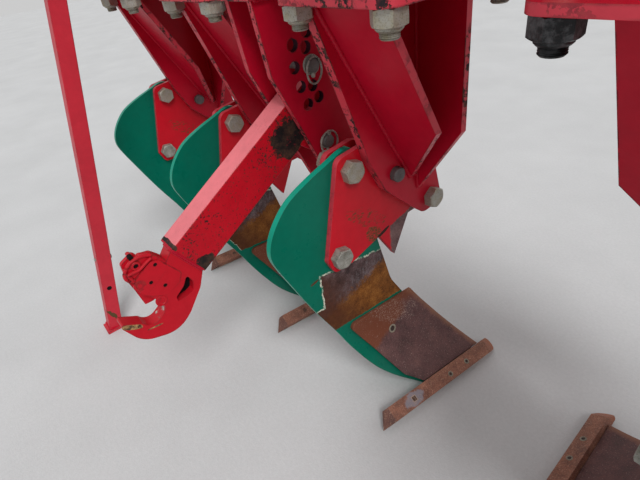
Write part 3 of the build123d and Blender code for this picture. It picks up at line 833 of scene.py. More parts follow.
def plated_finish(name, colour, stain, stained=0.4, metallic=0.5, rough=0.38, oil=None):
    """Dull zinc plating with stains; oil is a function that takes the web and gives a mask of places that get painted
    shade.
    """
    material, web, shader = finish_material(name, metallic=metallic)
    where = web.coords()
    broad = web.range(web.noise(where, 60.0, 5.0, 0.65), 0.40, 0.66)
    fine = web.noise(where, 400.0, 3.0, 0.6)
    base = web.mix(web.times(broad, stained), colour, stain)
    base = web.mix(web.times(web.range(fine, 0.52, 0.70), 0.6), base, tone(66, 62, 54))
    if oil:
        # Painted shade: dark mottled zinc where the mask says.
        shade_mottle = web.range(web.noise(where, 50.0, 5.0, 0.7), 0.45, 0.65)
        base = web.mix(oil(web), base, web.mix(shade_mottle, tone(26, 27, 29), tone(88, 88, 90)))
    dullness = web.range(web.noise(where, 90.0, 4.0, 0.6), 0.3, 0.7, rough, rough + 0.25)
    finish_surface(web, shader, base, dullness, fine, 0.0003)
    return material


def right_nut_shade(web):
    """One on the frame nuts of the machine's right half, which get painted shade."""
    right = web.above(web.split(web.coords())[0], 0.0)
    return web.times(right, web.below(drawn_place(web)[3], FLANGE_UNDERSIDE))


def past_row(web, row):
    """One on the legs further out than a row."""
    return web.above(drawn_place(web)[0], ((row + 0.5) * ROW_PITCH + FLANGE_MID) * MM)


def inner_legs(web):
    """One on the inner row of legs."""
    return web.inverse(past_row(web, 1))


def dark_finish(name):
    """The unlit bottom of a hole."""
    material, web, shader = finish_material(name, level=0.1)
    grit = web.noise(web.coords(), 120.0, 3.0)
    finish_surface(web, shader, web.mix(grit, tone(8, 6, 8), tone(34, 26, 28)), 0.9, grit, 0.0003)
    return material


def holder_edges(web):
    """The sawn edges of the cheek, gussets and flange, which get the lighter edge red as painted highlight."""
    _, across, _, up = drawn_place(web)
    facing_x, facing_z = turned_to(web, 0), turned_to(web, 2)
    cheek = web.above(across, -CHEEK_FACE - 0.8)
    cheek_edge = web.times(cheek, web.below(facing_x, 0.5))
    gusset_edge = web.times(web.inverse(cheek), web.above(facing_x, 0.25))
    flange = web.above(up, FLANGE_UNDERSIDE + 0.3)
    return web.blend(flange, web.larger(cheek_edge, gusset_edge), web.below(facing_z, 0.5))


def side_edges(web):
    """The edges of plates that stand across the machine."""
    return web.below(turned_to(web, 0), 0.5)


def flat_plate_edges(web):
    """The edges of plates that lie flat."""
    return web.below(turned_to(web, 2), 0.5)


def pin_hole_walls(web):
    """The walls of the arm brackets' pin holes, which the bracket paint darkens as painted shade."""
    _, _, ahead, up = drawn_place(web)
    columns = web.times(between(web, up, LOCK_PIN[1], 88.0), between(web, ahead, 99.0, 40.0))
    pivot = web.times(between(web, up, ARM_PIVOT[1], 20.0), between(web, ahead, ARM_PIVOT[0], 20.0))
    return web.times(side_edges(web), web.larger(columns, pivot))


def bracket_edges(web):
    """The outer edges of the arm brackets' plates."""
    return web.minus(side_edges(web), pin_hole_walls(web))


def arm_top_sheen(web):
    """The sloping top of the arm, where a lighter pink is painted as the sheen of the sky."""
    return web.range(web.facing(2), 0.55, 0.8)


def blade_edges(web):
    """The blade's rim, which faces to the rear or the front and gets the lighter edge green as painted highlight."""
    return web.range(turned_to(web, 1), 0.12, 0.25)


def blade_bare(web, grow=0.0):
    """The part of the blade's hollow face that the soil has stripped between the carrier and the wear plate.

    It reaches the trailing edge on the inner legs, stops short of it on the next ones and is small on the outer ones.
    """
    _, _, ahead, up = drawn_place(web)
    second, third = past_row(web, 1), past_row(web, 2)
    toward_middle = web.times(web.facing(0), web.math("SIGN", web.split(web.coords())[0]))
    hollow = web.range(toward_middle, -0.15, -0.3)
    y = ragged(web, ragged(web, ahead, 34.0, 7.0), 130.0, 4.0)
    z = ragged(web, ragged(web, up, 42.0, 6.0), 150.0, 4.0)
    top = below_line(web, y, z, (-25, 461.0 + grow), (169, 434.6 + grow), 0.6)
    foot = web.inverse(below_line(web, ahead, z, (30, 272.5), (262, 255.5), 0.8))
    held_back = web.math("MULTIPLY_ADD", third, 62.0, web.times(second, 8.0))
    behind = web.range(web.minus(y, held_back), -25.4 - grow, -24.6 - grow)
    rear = web.larger(behind, below_line(web, y, z, (-40, 364.0 + grow), (0, 362.0 + grow), 0.6))
    trailing = web.inverse(below_line(web, y, z, (-52, 402.0 - grow), (20, 249.0 - grow), 0.6))
    rear = web.times(rear, web.blend(second, 1.0, trailing))
    return web.times(top, foot, web.blend(third, rear, behind), hollow)


def blade_rim(web):
    """The torn paint round the bare part."""
    border = web.minus(blade_bare(web, 4.0), blade_bare(web))
    return web.times(border, web.range(web.noise(web.coords(), 85.0, 4.0, 0.7), 0.42, 0.54))


def blade_slit(web):
    """A rusty slit behind the bare part of the inner blades."""
    _, _, ahead, up = drawn_place(web)
    slit = ellipse_patch(web, ahead, up, middle=(-44, 455), half=(13, 3.2), turn=0.25, rag=0.5)
    return web.times(inner_legs(web), slit)


def blade_steel(web):
    """Bare steel of the blade: dark scale above, orange rust below, and painted shadow in dark brown towards the
    trailing edge's foot.
    """
    _, _, ahead, up = drawn_place(web)
    where = web.coords()
    border = ragged(web, ragged(web, up, 30.0, 30.0), 110.0, 22.0)
    scale_above = web.inverse(below_line(web, ahead, border, (-20, 340), (190, 402), 9.0))
    dark = steel_tints(web, tone(38, 28, 28), tone(84, 66, 66), tone(140, 124, 128), 0.0, 34.0)["Colour"]
    warm = steel_tints(web, tone(62, 32, 14), tone(120, 72, 28), tone(170, 116, 56), 0.01, 26.0)["Colour"]
    base = web.mix(scale_above, warm, dark)
    streaks = web.noise(web.scaled(where, (70.0, 170.0, 90.0)), 1.0, 6.0, 0.8)
    near = ellipse_patch(web, ahead, up, middle=(92, 392), half=(105, 26), turn=0.42, rag=0.9)
    base = web.mix(web.times(near, web.range(streaks, 0.50, 0.62, 0.0, 0.7)), base, tone(116, 108, 110))
    # Painted shadow: dark brown low towards the trailing edge's foot.
    low = web.minus(ahead, web.times(web.minus(400.0, up), 0.5))
    shadow = web.range(ragged(web, low, 24.0, 16.0), 66.0, -26.0, 0.0, 0.85)
    brown = web.mix(web.noise(where, 90.0, 3.0), tone(48, 24, 14), tone(92, 52, 34))
    return web.mix(shadow, base, brown)


def carrier_side(web, across):
    """One on the carriers' parts that lie toward the middle of the machine."""
    return web.below(across, -CARRIER_FACE + 0.8)


def carrier_wear(web):
    """Soil rub on the inner carriers' face towards the middle of the machine."""
    _, across, ahead, up = drawn_place(web)
    y, z = ragged(web, ahead, 70.0, 6.0), ragged(web, up, 80.0, 6.0)
    front = web.range(y, 185.5, 189.5)
    lower = below_line(web, y, z, (183, 500), (258, 519), 1.0)
    return web.times(carrier_side(web, across), web.above(turned_to(web, 0), 0.5), inner_legs(web), front, lower)


def carrier_bare(web):
    """The rubbed steel of the carriers."""
    return steel_tints(web, tone(66, 48, 50), tone(110, 84, 84), tone(150, 124, 118), 0.02, 30.0)["Colour"]


def carrier_edge_shade(web):
    """A dark line behind the tooth along the plate's edge, as painted shade."""
    _, across, ahead, up = drawn_place(web)
    groove = ellipse_patch(web, ahead, up, middle=(163, 495), half=(25, 4.5), turn=0.36, rag=0.4)
    return web.times(carrier_side(web, across), groove)


def carrier_scuffs(web):
    """Scratches across the carrier's face, and brown rubbed places behind the tooth."""
    _, across, ahead, up = drawn_place(web)
    face = web.times(carrier_side(web, across), web.above(turned_to(web, 0), 0.5))
    streaks = web.noise(web.scaled(web.coords(), (60.0, 70.0, 240.0)), 1.0, 5.0, 0.75)
    scratched = ellipse_patch(web, ahead, up, middle=(116, 560), half=(66, 22), turn=math.radians(-31))
    scratched = web.times(scratched, web.range(streaks, 0.555, 0.585))
    grit = web.noise(web.scaled(web.coords(), (150.0, 150.0, 210.0)), 1.0, 5.0, 0.75)
    rubbed = ellipse_patch(web, ahead, up, middle=(136, 503), half=(29, 19), turn=math.radians(-40))
    rubbed = web.times(rubbed, web.range(grit, 0.44, 0.52))
    return web.times(face, web.larger(scratched, rubbed))


def arm_patch(web, middle, half, turn=ARM_SLOPE, rag=0.7):
    """A ragged patch round a point (u, v) of the arm's own frame."""
    _, _, ahead, up = drawn_place(web)
    return ellipse_patch(web, ahead, up, arm_line(*middle), half, turn, rag)


def arm_black(web):
    """Places on the arm's sides, and at its upper corner by the hook, where the paint came off in sheets."""
    near_hook = arm_patch(web, (388, 42), (24, 21), rag=0.75)
    near_pivot = arm_patch(web, (62, 70), (44, 44), rag=0.75)
    on_sides = web.times(web.above(turned_to(web, 0), 0.5), web.larger(near_hook, near_pivot))
    return web.larger(on_sides, arm_patch(web, (398, 128), (6, 8), rag=0.75))


def arm_stain(web):
    """Dark rust of the arm's bare places, with some red left in it."""
    where = web.coords()
    dark = web.mix(web.range(web.noise(where, 30.0, 5.0, 0.7), 0.42, 0.62), tone(30, 26, 27), tone(74, 54, 44))
    return web.mix(web.range(web.noise(where, 70.0, 4.0, 0.7), 0.60, 0.68), dark, tone(126, 30, 44))


def hook_rim(web):
    """One on the hook's edges and in its throat, nought on its flat sides."""
    return web.below(turned_to(web, 0), 0.85)


def hook_worn_edge(web):
    """The hook's lip, where balls have rubbed the paint off down to bright steel."""
    rim = hook_rim(web)
    grit = web.range(web.noise(web.coords(), 60.0, 4.0, 0.7), 0.50, 0.55)
    lip = web.larger(arm_patch(web, (583, 86), (25, 6.5), -0.513), arm_patch(web, (563, 40), (17, 2.0), -0.1))
    seat = web.times(arm_patch(web, (528, 46), (20, 11)), rim, grit)
    return web.larger(web.times(lip, web.inverse(rim)), seat)


def hook_steel(web):
    """Rubbed steel on the hook: silvery in the seat, brown with dark outlines at the lip."""
    where = web.coords()
    brown = web.mix(web.range(web.noise(where, 90.0, 4.0, 0.7), 0.40, 0.60), tone(58, 40, 34), tone(176, 138, 92))
    silver = web.mix(web.range(web.noise(where, 70.0, 4.0, 0.7), 0.42, 0.58), tone(70, 64, 60), tone(196, 186, 178))
    return web.mix(hook_rim(web), brown, silver)


def bar_marks(web, colour, rough):
    """The bar's second bolt hole, with a rubbed patch round it, and its rusty ends."""
    side, _, y, z = drawn_place(web)
    middle, across, ahead, out = bar_axes()
    whole_bar = 0.2  # metres that move the border between two rows off the bar
    row_x = web.math("MODULO", web.plus(side, whole_bar), ROW_PITCH * MM)
    x = web.times(web.minus(whole_bar, row_x), 1 / MM)
    dx, dy, dz = (web.minus(value, start) for value, start in zip((x, y, z), middle))

    def along(axis):
        """The distance from the bar's middle along one of its directions."""
        total = web.math("MULTIPLY_ADD", dy, axis.y, web.times(dx, axis.x))
        return web.math("MULTIPLY_ADD", dz, axis.z, total)

    a, b = along(across), web.minus(along(ahead), BAR_SPARE_HOLE)
    far = web.larger(web.math("ABSOLUTE", a), web.math("ABSOLUTE", b))
    on_top = web.range(along(out), BAR_THICK - 2, BAR_THICK - 1)
    reach = web.math("SQRT", web.plus(web.times(a, a), web.times(b, b, 0.28)))
    rubbed = web.times(web.range(ragged(web, reach, 60.0, 10.0), 19.0, 15.0), on_top, inner_legs(web))
    lip = web.times(web.range(far, 8.6, 7.6), on_top, inner_legs(web))
    hole = web.times(web.range(far, 6.6, 5.8), on_top)
    tail = web.range(along(ahead), -BAR_HALF + 38.0, -BAR_HALF + 36.0)
    grains = web.range(web.noise(web.coords(), 300.0, 3.0, 0.7), 0.56, 0.64, 0.0, 0.5)
    nose = web.range(along(ahead), BAR_HALF - 44.0, BAR_HALF - 4.0)
    colour = web.mix(web.times(rubbed, 0.85), colour, tone(134, 132, 142))
    colour = web.mix(lip, colour, tone(168, 146, 130))
    colour = web.mix(hole, colour, tone(74, 48, 36))
    colour = web.mix(web.times(tail, 0.6), colour, tone(60, 36, 38))
    colour = web.mix(grains, colour, tone(196, 160, 136))
    colour = web.mix(web.times(nose, 0.6), colour, tone(172, 96, 60))
    return colour, web.blend(rubbed, rough, 0.35)


def plate_marks(web, colour, rough):
    """The wear plate is dark where soil keeps it rubbed, and orange at its rear upper corner."""
    _, _, ahead, up = drawn_place(web)
    rear = web.inverse(below_line(web, ahead, ragged(web, up, 40.0, 14.0), (90, 143), (255, 200), 7.0))
    rear = web.times(rear, web.range(ragged(web, ahead, 30.0, 20.0), 250.0, 205.0))
    top = web.range(ragged(web, up, 34.0, 14.0), 206.0, 238.0)
    front = web.range(ragged(web, web.math("MULTIPLY_ADD", up, 0.62, ahead), 40.0, 10.0), 396.0, 412.0)
    band = ellipse_patch(web, ahead, up, middle=(190, 215), half=(90, 34), turn=-0.5, rag=1.0)
    grit = web.noise(web.coords(), 330.0, 2.0, 0.6)
    grains = web.larger(web.range(grit, 0.64, 0.70), web.times(band, web.range(grit, 0.54, 0.60)))
    colour = web.mix(web.times(web.larger(rear, top), 0.8), colour, tone(122, 62, 32))
    colour = web.mix(web.times(front, 0.6), colour, tone(158, 108, 82))
    return web.mix(web.times(grains, 0.5), colour, tone(184, 162, 150)), rough


def stand_mark(web):
    """A rusty scratch low on the parking stand."""
    _, _, ahead, up = drawn_place(web)
    return ellipse_patch(web, ahead, up, middle=(-410, 62), half=(7, 26), turn=0.3, rag=1.3)


def concrete_finish(colour, contrast):
    """Plain pale concrete with faint blotches."""
    material, web, shader = finish_material("concrete floor")
    where = web.coords()
    broad = web.range(web.noise(where, 2.2, 6.0, 0.6), 0.3, 0.7, 1 - contrast, 1 + contrast)
    fine = web.range(web.noise(where, 110.0, 4.0, 0.7), 0.3, 0.7, 1 - contrast, 1 + contrast)
    shade = web.node("ShaderNodeVectorMath", operation="SCALE")
    shade.inputs[0].default_value = colour
    web.feed(shade.inputs["Scale"], web.times(broad, fine))
    rough = web.range(web.noise(where, 6.0), 0.3, 0.7, 0.75, 0.9)
    finish_surface(web, shader, shade.outputs[0], rough, web.noise(where, 240.0, 4.0))
    return material


def finish_table(look):
    """What makes each finish, and its settings from the panel's colours."""
    # rim is the lighter red that plates, brackets, holders and carriers get on their edges: painted highlight.
    red, bright, rim = tuple(look.red), tuple(look.red_leg), tuple(look.red_edge_highlight)
    chips, dust = look.chips, look.dust
    worn = dict(chips=chips, dust=dust)
    plate = dict(colour=red, edge_highlight_colour=rim, **worn)
    bolt = dict(colour=tuple(look.zinc), stain=tone(150, 138, 104), stained=0.55)
    carrier_marks = (
        (carrier_scuffs, tone(88, 66, 38), 0.7),
        (carrier_wear, carrier_bare, 0.6),
        # The dark line behind the tooth is painted shade.
        (carrier_edge_shade, tone(48, 34, 30), 0.8),
    )
    blade_marks = (
        (blade_rim, tone(206, 204, 186), 0.6),
        (blade_bare, blade_steel, 0.6),
        (blade_slit, tone(84, 56, 36), 0.8),
    )
    return {
        "red frame paint": (paint_finish, dict(colour=red, **worn)),
        "red plate paint": (paint_finish, dict(plate, edges=side_edges)),
        "red clamp paint": (paint_finish, dict(plate, edges=flat_plate_edges, dust=dust * 1.5)),
        "red bracket paint": (
            paint_finish,
            # Dark red on the pin hole walls is painted shade.
            dict(plate, edges=bracket_edges, marks=((pin_hole_walls, tone(46, 8, 26), 0.7),)),
        ),
        "red holder paint": (
            paint_finish,
            dict(plate, edges=holder_edges, chips=chips * 0.6, lumps=0.25, dust=dust * 0.7),
        ),
        "red carrier paint": (
            paint_finish,
            dict(
                colour=bright,
                edge_highlight_colour=rim,
                edges=side_edges,
                marks=carrier_marks,
                chips=chips * 0.5,
                edge_chips=0.35,
                dust=dust,
            ),
        ),
        "green blade paint": (
            paint_finish,
            dict(
                colour=tuple(look.green),
                # The lighter green on the blades' rims is painted highlight.
                edge_highlight_colour=tuple(look.green_edge_highlight),
                edges=blade_edges,
                marks=blade_marks,
                chips=-0.6,
                edge_chips=0.25,
                flakes=0.0,
                gloss=0.3,
                dust=dust * 0.2,
            ),
        ),
        "red arm paint": (
            paint_finish,
            dict(
                colour=bright,
                # The arm's pink top is painted sheen.
                edge_highlight_colour=tone(240, 128, 136),
                edges=arm_top_sheen,
                marks=((arm_black, arm_stain, 0.7),),
                chips=chips * 3.2,
                flakes=0.0,
                lumps=1.3,
                gloss=0.34,
                dust=dust,
            ),
        ),
        "red hook paint": (
            paint_finish,
            dict(
                colour=bright,
                marks=((hook_worn_edge, hook_steel, 0.5),),
                chips=chips * 0.8,
                edge_chips=0.6,
                lumps=0.4,
                gloss=0.34,
                dust=dust * 0.7,
            ),
        ),
        "red stand paint": (
            paint_finish,
            dict(
                colour=tuple(look.red_stand),
                marks=((stand_mark, tone(88, 66, 40), 0.7),),
                chips=chips,
                gloss=0.38,
                dust=dust * 1.5,
            ),
        ),
        "weld paint": (paint_finish, dict(colour=red, chips=chips * 0.5, edge_chips=0.0, gloss=0.34, dust=dust * 0.5)),
        "rubbed wear plate": (
            steel_finish,
            dict(
                tints=(tone(64, 42, 42), tone(98, 66, 66), tone(128, 92, 86)),
                scale=20.0,
                dust=dust,
                extra=plate_marks,
            ),
        ),
        "rusty point bar": (
            steel_finish,
            dict(
                tints=(tone(84, 52, 42), tone(138, 88, 70), tone(184, 132, 106)),
                scale=26.0,
                metallic=0.2,
                dust=dust,
                extra=bar_marks,
            ),
        ),
        "rubbed screw heads": (
            steel_finish,
            dict(tints=(tone(84, 76, 66), tone(146, 138, 122), tone(186, 180, 164)), scale=70.0),
        ),
        # A dark brown for the screw sockets: painted shade.
        "packed soil": (
            steel_finish,
            dict(tints=(tone(30, 20, 18), tone(52, 34, 28), tone(84, 60, 48)), scale=90.0, metallic=0.0),
        ),
        "dark hollow": (dark_finish, dict()),
        "grey pin steel": (
            plated_finish,
            dict(colour=tone(116, 118, 116), stain=tone(84, 84, 82), stained=0.6, metallic=0.35, rough=0.42),
        ),
        "dull zinc": (plated_finish, bolt),
        "oiled zinc": (plated_finish, dict(bolt, oil=right_nut_shade)),
        "greyed zinc": (
            plated_finish,
            dict(colour=tone(168, 168, 160), stain=tone(112, 108, 96), stained=0.7, rough=0.45),
        ),
        "dark oiled steel": (
            plated_finish,
            dict(colour=tone(104, 100, 100), stain=tone(70, 64, 62), stained=0.6, rough=0.42),
        ),
    }


def finish(name):
    """The finish with that name, made on first use."""
    made = bpy.data.materials.get(name)
    if made:
        return made
    make, settings = finish_table(bpy.context.scene.subsoiler_paint)[name]
    return make(name, **settings)


# Pieces


def row_shift(row):
    """How far a row of legs lies from the inner row, in mm."""
    return (row - 1) * ROW_PITCH


def bent_x(z, thick):
    """Where a layer of the blade lies across the machine at a height; thick is how far behind the hollow face."""
    radius = BEND_RADIUS + thick
    centre = BLADE_FACE + BEND_RADIUS
    end = BEND_START - radius * math.sin(BEND_TURN)
    if z >= BEND_START:
        return centre - radius
    if z >= end:
        return centre - math.sqrt(radius**2 - (BEND_START - z) ** 2)
    return centre - radius * math.cos(BEND_TURN) + (end - z) / math.tan(FOOT_SLOPE)


def blade_outlines():
    """The blade's outline before it is bent, and the one of its back, which is set in along the rear edge."""
    rear = smooth_path([Vector(p) for p in BLADE_REAR_EDGE], 4)
    top = ((150, 700, 20), (92, 738, 30))
    outline = rounded([*top, *((p.x, p.y, 0) for p in rear), *BLADE_FRONT_EDGE], math.radians(6))
    count = len(outline)
    start = next(i for i, point in enumerate(outline) if point.y > 720)
    end = min(range(count), key=lambda i: (outline[i] - rear[-1]).length)
    back = []
    for i, point in enumerate(outline):
        along = (outline[(i + 1) % count] - outline[i - 1]).normalized()
        share = max(0.0, min(1.0, (i - start) / 2, (end - i) / 6))
        back.append(point + Vector((-along.y, along.x)) * BLADE_RELIEF * share)
    return outline, back


def curled_blades(row):
    """The blades of one row, with a smooth rear edge that is relieved on the back."""
    bm = bmesh.new()
    outline, back = blade_outlines()
    rings = [
        [bm.verts.new((thick, p.x, p.y)) for p in loop]
        for thick, loop in ((0.0, outline), (BLADE_RIM, outline), (BLADE_THICK, back))
    ]
    skin(bm, rings, closed_ends=False)
    for ring in (rings[0], rings[-1]):
        edges = [bm.edges.get((ring[i - 1], ring[i])) for i in range(len(ring))]
        bmesh.ops.triangle_fill(bm, use_beauty=True, edges=edges)
    levels = [BEND_START - BEND_RADIUS * math.sin(math.radians(4 * k)) for k in range(16)] + [0.0]
    for level in levels[:-1]:
        everything = bm.verts[:] + bm.edges[:] + bm.faces[:]
        bmesh.ops.bisect_plane(bm, geom=everything, dist=0.0001, plane_co=(0, 0, level), plane_no=(0, 0, 1))
    for vert in bm.verts:
        thick, y, z = vert.co
        x = bent_x(z, thick)
        for high, low in zip(levels, levels[1:]):
            if low <= z < high:
                share = (high - z) / (high - low)
                x = bent_x(high, thick) * (1 - share) + bent_x(low, thick) * share
        vert.co = spot(x - row_shift(row), y, z)
    bmesh.ops.recalc_face_normals(bm, faces=bm.faces[:])
    bmesh.ops.dissolve_limit(bm, angle_limit=FLAT_ANGLE, verts=bm.verts[:], edges=bm.edges[:])
    add_mirror_image(bm)
    return bm


def frame_bolts(row, flats, draw):
    """The four long bolts that clamp one leg's flange under the beam, with locking nuts below."""
    bm = bmesh.new()
    shank = [(0.3, 15), (BEAM_TOP - BEAM_UNDERSIDE - 0.3, 15)]
    thick = 4
    for column in BOLT_COLUMNS:
        x = column - row_shift(row)
        for y in BOLT_ROWS:
            lock_nut(bm, spot(x, y, FLANGE_UNDERSIDE), DOWN, flats, draw.uniform(0, 1))
            turned(bm, spot(x, y, BEAM_UNDERSIDE), UP, shank)
            washer(bm, spot(x, y, BEAM_TOP + PLATE), UP, flats * 0.6, thick)
            hex_block(bm, spot(x, y, BEAM_TOP + PLATE + thick), UP, flats, flats * 0.4, draw.uniform(0, 1))
    add_mirror_image(bm)
    return bm


def leg_bolt(bm, x, y, z, far_x, flats, spin):
    """A bolt through a leg: its head towards the middle of the machine, its nut on the outside."""
    thick = 4
    hex_block(bm, spot(x, y, z), INWARD, flats, flats * 0.45, spin)
    washer(bm, spot(far_x, y, z), OUTWARD, flats * 0.6, thick)
    nut = spot(far_x - thick, y, z)
    hex_block(bm, nut, OUTWARD, flats, flats * 0.52, spin + 0.3)
    thread_end(bm, nut, OUTWARD, flats * 0.315, flats * 0.75)


def leg_bolts(row, places, flats, draw):
    """Bolts of one row of legs at drawn places (head face x, y, z)."""
    bm = bmesh.new()
    shift = row_shift(row)
    for x, y, z in places:
        leg_bolt(bm, x - shift, y, z, CARRIER_BACK - shift, flats, draw.uniform(0, 1))
    add_mirror_image(bm)
    return bm


def shear_bolt(row):
    """The shear bolt: a plain round end on the cheek and a nut outside."""
    bm = bmesh.new()
    shift = row_shift(row)
    turned(bm, spot(CHEEK_FACE - shift, *SHEAR_BOLT), INWARD, [(0, 17), (13, 17), (15, 15.5), (15.4, 9), (15.2, 2)], 32)
    nut = spot(CARRIER_BACK - shift, *SHEAR_BOLT)
    hex_block(bm, nut, OUTWARD, 30, 16, 0.4)
    thread_end(bm, nut, OUTWARD, 10, 24)
    add_mirror_image(bm)
    return bm


def wear_screw_spot(row, lift):
    """Where the wear plate's screw crosses a layer of the blade, and the direction out of its hollow side."""
    y, z = WEAR_SCREW
    turn = math.asin((BEND_START - z) / (BEND_RADIUS - WEAR_FACE))
    place, out = hollow_spot(y, turn, lift)
    return place - Vector((row_shift(row) * MM, 0, 0)), out


def wear_places(row):
    """The wear plate's screw and the point bar's two screws: place, outward direction, head and socket radius."""
    places = [(*wear_screw_spot(row, WEAR_FACE), WEAR_SCREW_HEAD, WEAR_SCREW_SOCKET)]
    middle, across, ahead, out = bar_axes()
    for a, b in BAR_SCREWS:
        place = spot(*(middle + across * a + ahead * b + out * BAR_THICK)) - Vector((row_shift(row) * MM, 0, 0))
        places.append((place, out, BAR_SCREW_HEAD, BAR_SCREW_SOCKET))
    return places


def wear_fasteners(row):
    """The screws of the wear plate and point bar, worn flush, with the plate's nut behind the blade."""
    bm = bmesh.new()
    for place, out, head, socket in wear_places(row):
        turned(bm, place, out, [(-3, head), (0.7, head), (1.5, head - 1.3), (0.9, socket + 0.6), (0.2, socket)], 32)
    back, out = wear_screw_spot(row, -BLADE_THICK)
    hex_block(bm, back, -out, 24, 13, 0.2)
    thread_end(bm, back, -out, 7.6, 18)
    add_mirror_image(bm)
    return bm


def wear_socket_shade(row):
    """Dark fill in the sockets of those screws, as painted shade."""
    bm = bmesh.new()
    for place, out, _, socket in wear_places(row):
        turned(bm, place, out, [(-1, socket), (0.6, socket), (0.8, socket - 1.0), (0.4, 1)], 24)
    add_mirror_image(bm)
    return bm


def linch_pin(bm, centre, face, reach, ring_mid, ring_half, lean=0.0, out=12.0):
    """A linch pin through a round pin's end: stem, knob and spring ring; face points out of the pin's end."""
    up = Vector((0, math.sin(lean), math.cos(lean)))
    side = face.cross(up).normalized()
    place = centre + face * out * MM
    stem = 2 * reach + 8
    rows = [(0, 1.3), (2, 2.9), (stem, 2.9), (stem, 4.6), (stem + 6, 4.6), (stem + 8, 3)]
    turned(bm, place - up * (reach + 6) * MM, up, rows, 16)
    middle = place + face * 4.5 * MM + up * ring_mid * MM
    ring = []
    for angle in (*circle(48), 2 * math.pi):
        ring.append(middle + (side * math.cos(angle) * ring_half[0] + up * math.sin(angle) * ring_half[1]) * MM)
    wire_path(bm, ring, 2.1, 8)


def arm_pin_shafts():
    """The pivot and locking pins of both arms, with chamfered ends."""
    bm = bmesh.new()
    inner, outer = BRACKET_FACES[0] + 12.5, BRACKET_FACES[1] - BRACKET_THICK - 22
    length, r = inner - outer, PIN_RADIUS
    for place in (ARM_PIVOT, LOCK_PIN):
        rows = [(0, r - 3), (0.6, r - 2), (2.4, r), (length - 2.4, r), (length, r - 2)]
        turned(bm, spot(inner, *place), OUTWARD, rows, 40)
    add_mirror_image(bm)
    return bm


def arm_pin_fittings():
    """Washers, collars and linch pins on the pivot and locking pins of both arms."""
    bm = bmesh.new()
    inner, outer = BRACKET_FACES[0], BRACKET_FACES[1] - BRACKET_THICK
    washer(bm, spot(inner, *ARM_PIVOT), INWARD, 18, 2.5)
    linch_pin(bm, spot(inner, *ARM_PIVOT), INWARD, PIN_RADIUS, -1, (24, 26), 0.25, 8.0)
    washer(bm, spot(inner, *LOCK_PIN), INWARD, 21, 4)
    linch_pin(bm, spot(inner, *LOCK_PIN), INWARD, PIN_RADIUS, 10, (19, 27), math.pi + 0.15, 8.0)
    for place in (ARM_PIVOT, LOCK_PIN):
        turned(bm, spot(outer, *place), OUTWARD, [(0, 21), (1, 22), (7, 22), (8, 21)], 36)
    add_mirror_image(bm)
    return bm


def hitch_pin_fittings():
    """Collars, washers and linch pins at the ends of the lower hitch pins."""
    bm = bmesh.new()
    inner, outer, r = HITCH_MID + HITCH_PIN_REACH, HITCH_MID - HITCH_PIN_REACH, HITCH_PIN_RADIUS
    thick = 4
    washer(bm, spot(inner, *HITCH_PIN), INWARD, r + 6, thick)
    washer(bm, spot(outer, *HITCH_PIN), OUTWARD, r + 6, thick)
    linch_pin(bm, spot(outer, *HITCH_PIN), OUTWARD, r, -2, (r + 9, r + 9), 0.2)
    turned(bm, spot(inner + thick, *HITCH_PIN), INWARD, [(0, r + 4), (10, r + 4), (14, r)], 32)
    add_mirror_image(bm)
    return bm


def top_pin_fittings():
    """The top link pin's washers, handle and linch pin."""
    bm = bmesh.new()
    reach, r = TOP_PIN_REACH, TOP_PIN_RADIUS
    thick = 3
    washer(bm, spot(reach, *TOP_PIN), INWARD, r + 5, thick)
    washer(bm, spot(-reach, *TOP_PIN), OUTWARD, r + 5, thick)
    linch_pin(bm, spot(reach, *TOP_PIN), INWARD, r, -2, (r + 9, r + 9), 0.2)
    head = spot(-reach - thick, *TOP_PIN)
    turned(bm, head, OUTWARD, [(0, r + 3), (12, r + 3), (16, r)], 32)
    grip_radius = 34
    middle = head + (OUTWARD * 9 - Vector((0, grip_radius, 0))) * MM
    outs = [Vector((0, math.cos(t), math.sin(t))) for t in (*circle(24), 2 * math.pi)]
    wire_path(bm, [middle + out * grip_radius * MM for out in outs], 5, 10)
    return bm


def bracket_plates(pin_hole, spare_hole):
    """The two plates of each arm bracket, with round holes, under their pad."""
    bm = bmesh.new()
    lower = ((15, 883, 0), (148, 565, 25), (205, 565, 25), (226, 700, 0))
    outline = rounded([(0, FLANGE_UNDERSIDE, 0), *lower, (240, FLANGE_UNDERSIDE, 0)])
    holes = [circle_points(y, z, spare_hole, 32) for y, z in SPARE_HOLES]
    holes += [circle_points(y, z, pin_hole, 36) for y, z in (ARM_PIVOT, LOCK_PIN)]
    for face in BRACKET_FACES:
        cut_plate(bm, side_spot, outline, holes, face - BRACKET_THICK, face)
    low, high = FLANGE_UNDERSIDE, BEAM_UNDERSIDE
    pad = [Vector(p) for p in ((PAD_REAR, low), (PAD_FRONT, low), (PAD_FRONT, high), (PAD_REAR, high))]
    cut_plate(bm, side_spot, pad, [], PAD_ENDS[1], PAD_ENDS[0])
    add_mirror_image(bm)
    return bm


def hook_plate(bm, rows, low, high, holes=()):
    """A plate of the hook from corner rows (u, v, radius), between two offsets from the arm's middle plane."""
    cut_plate(bm, arm_spot, rounded(rows, math.radians(7)), holes, low, high)


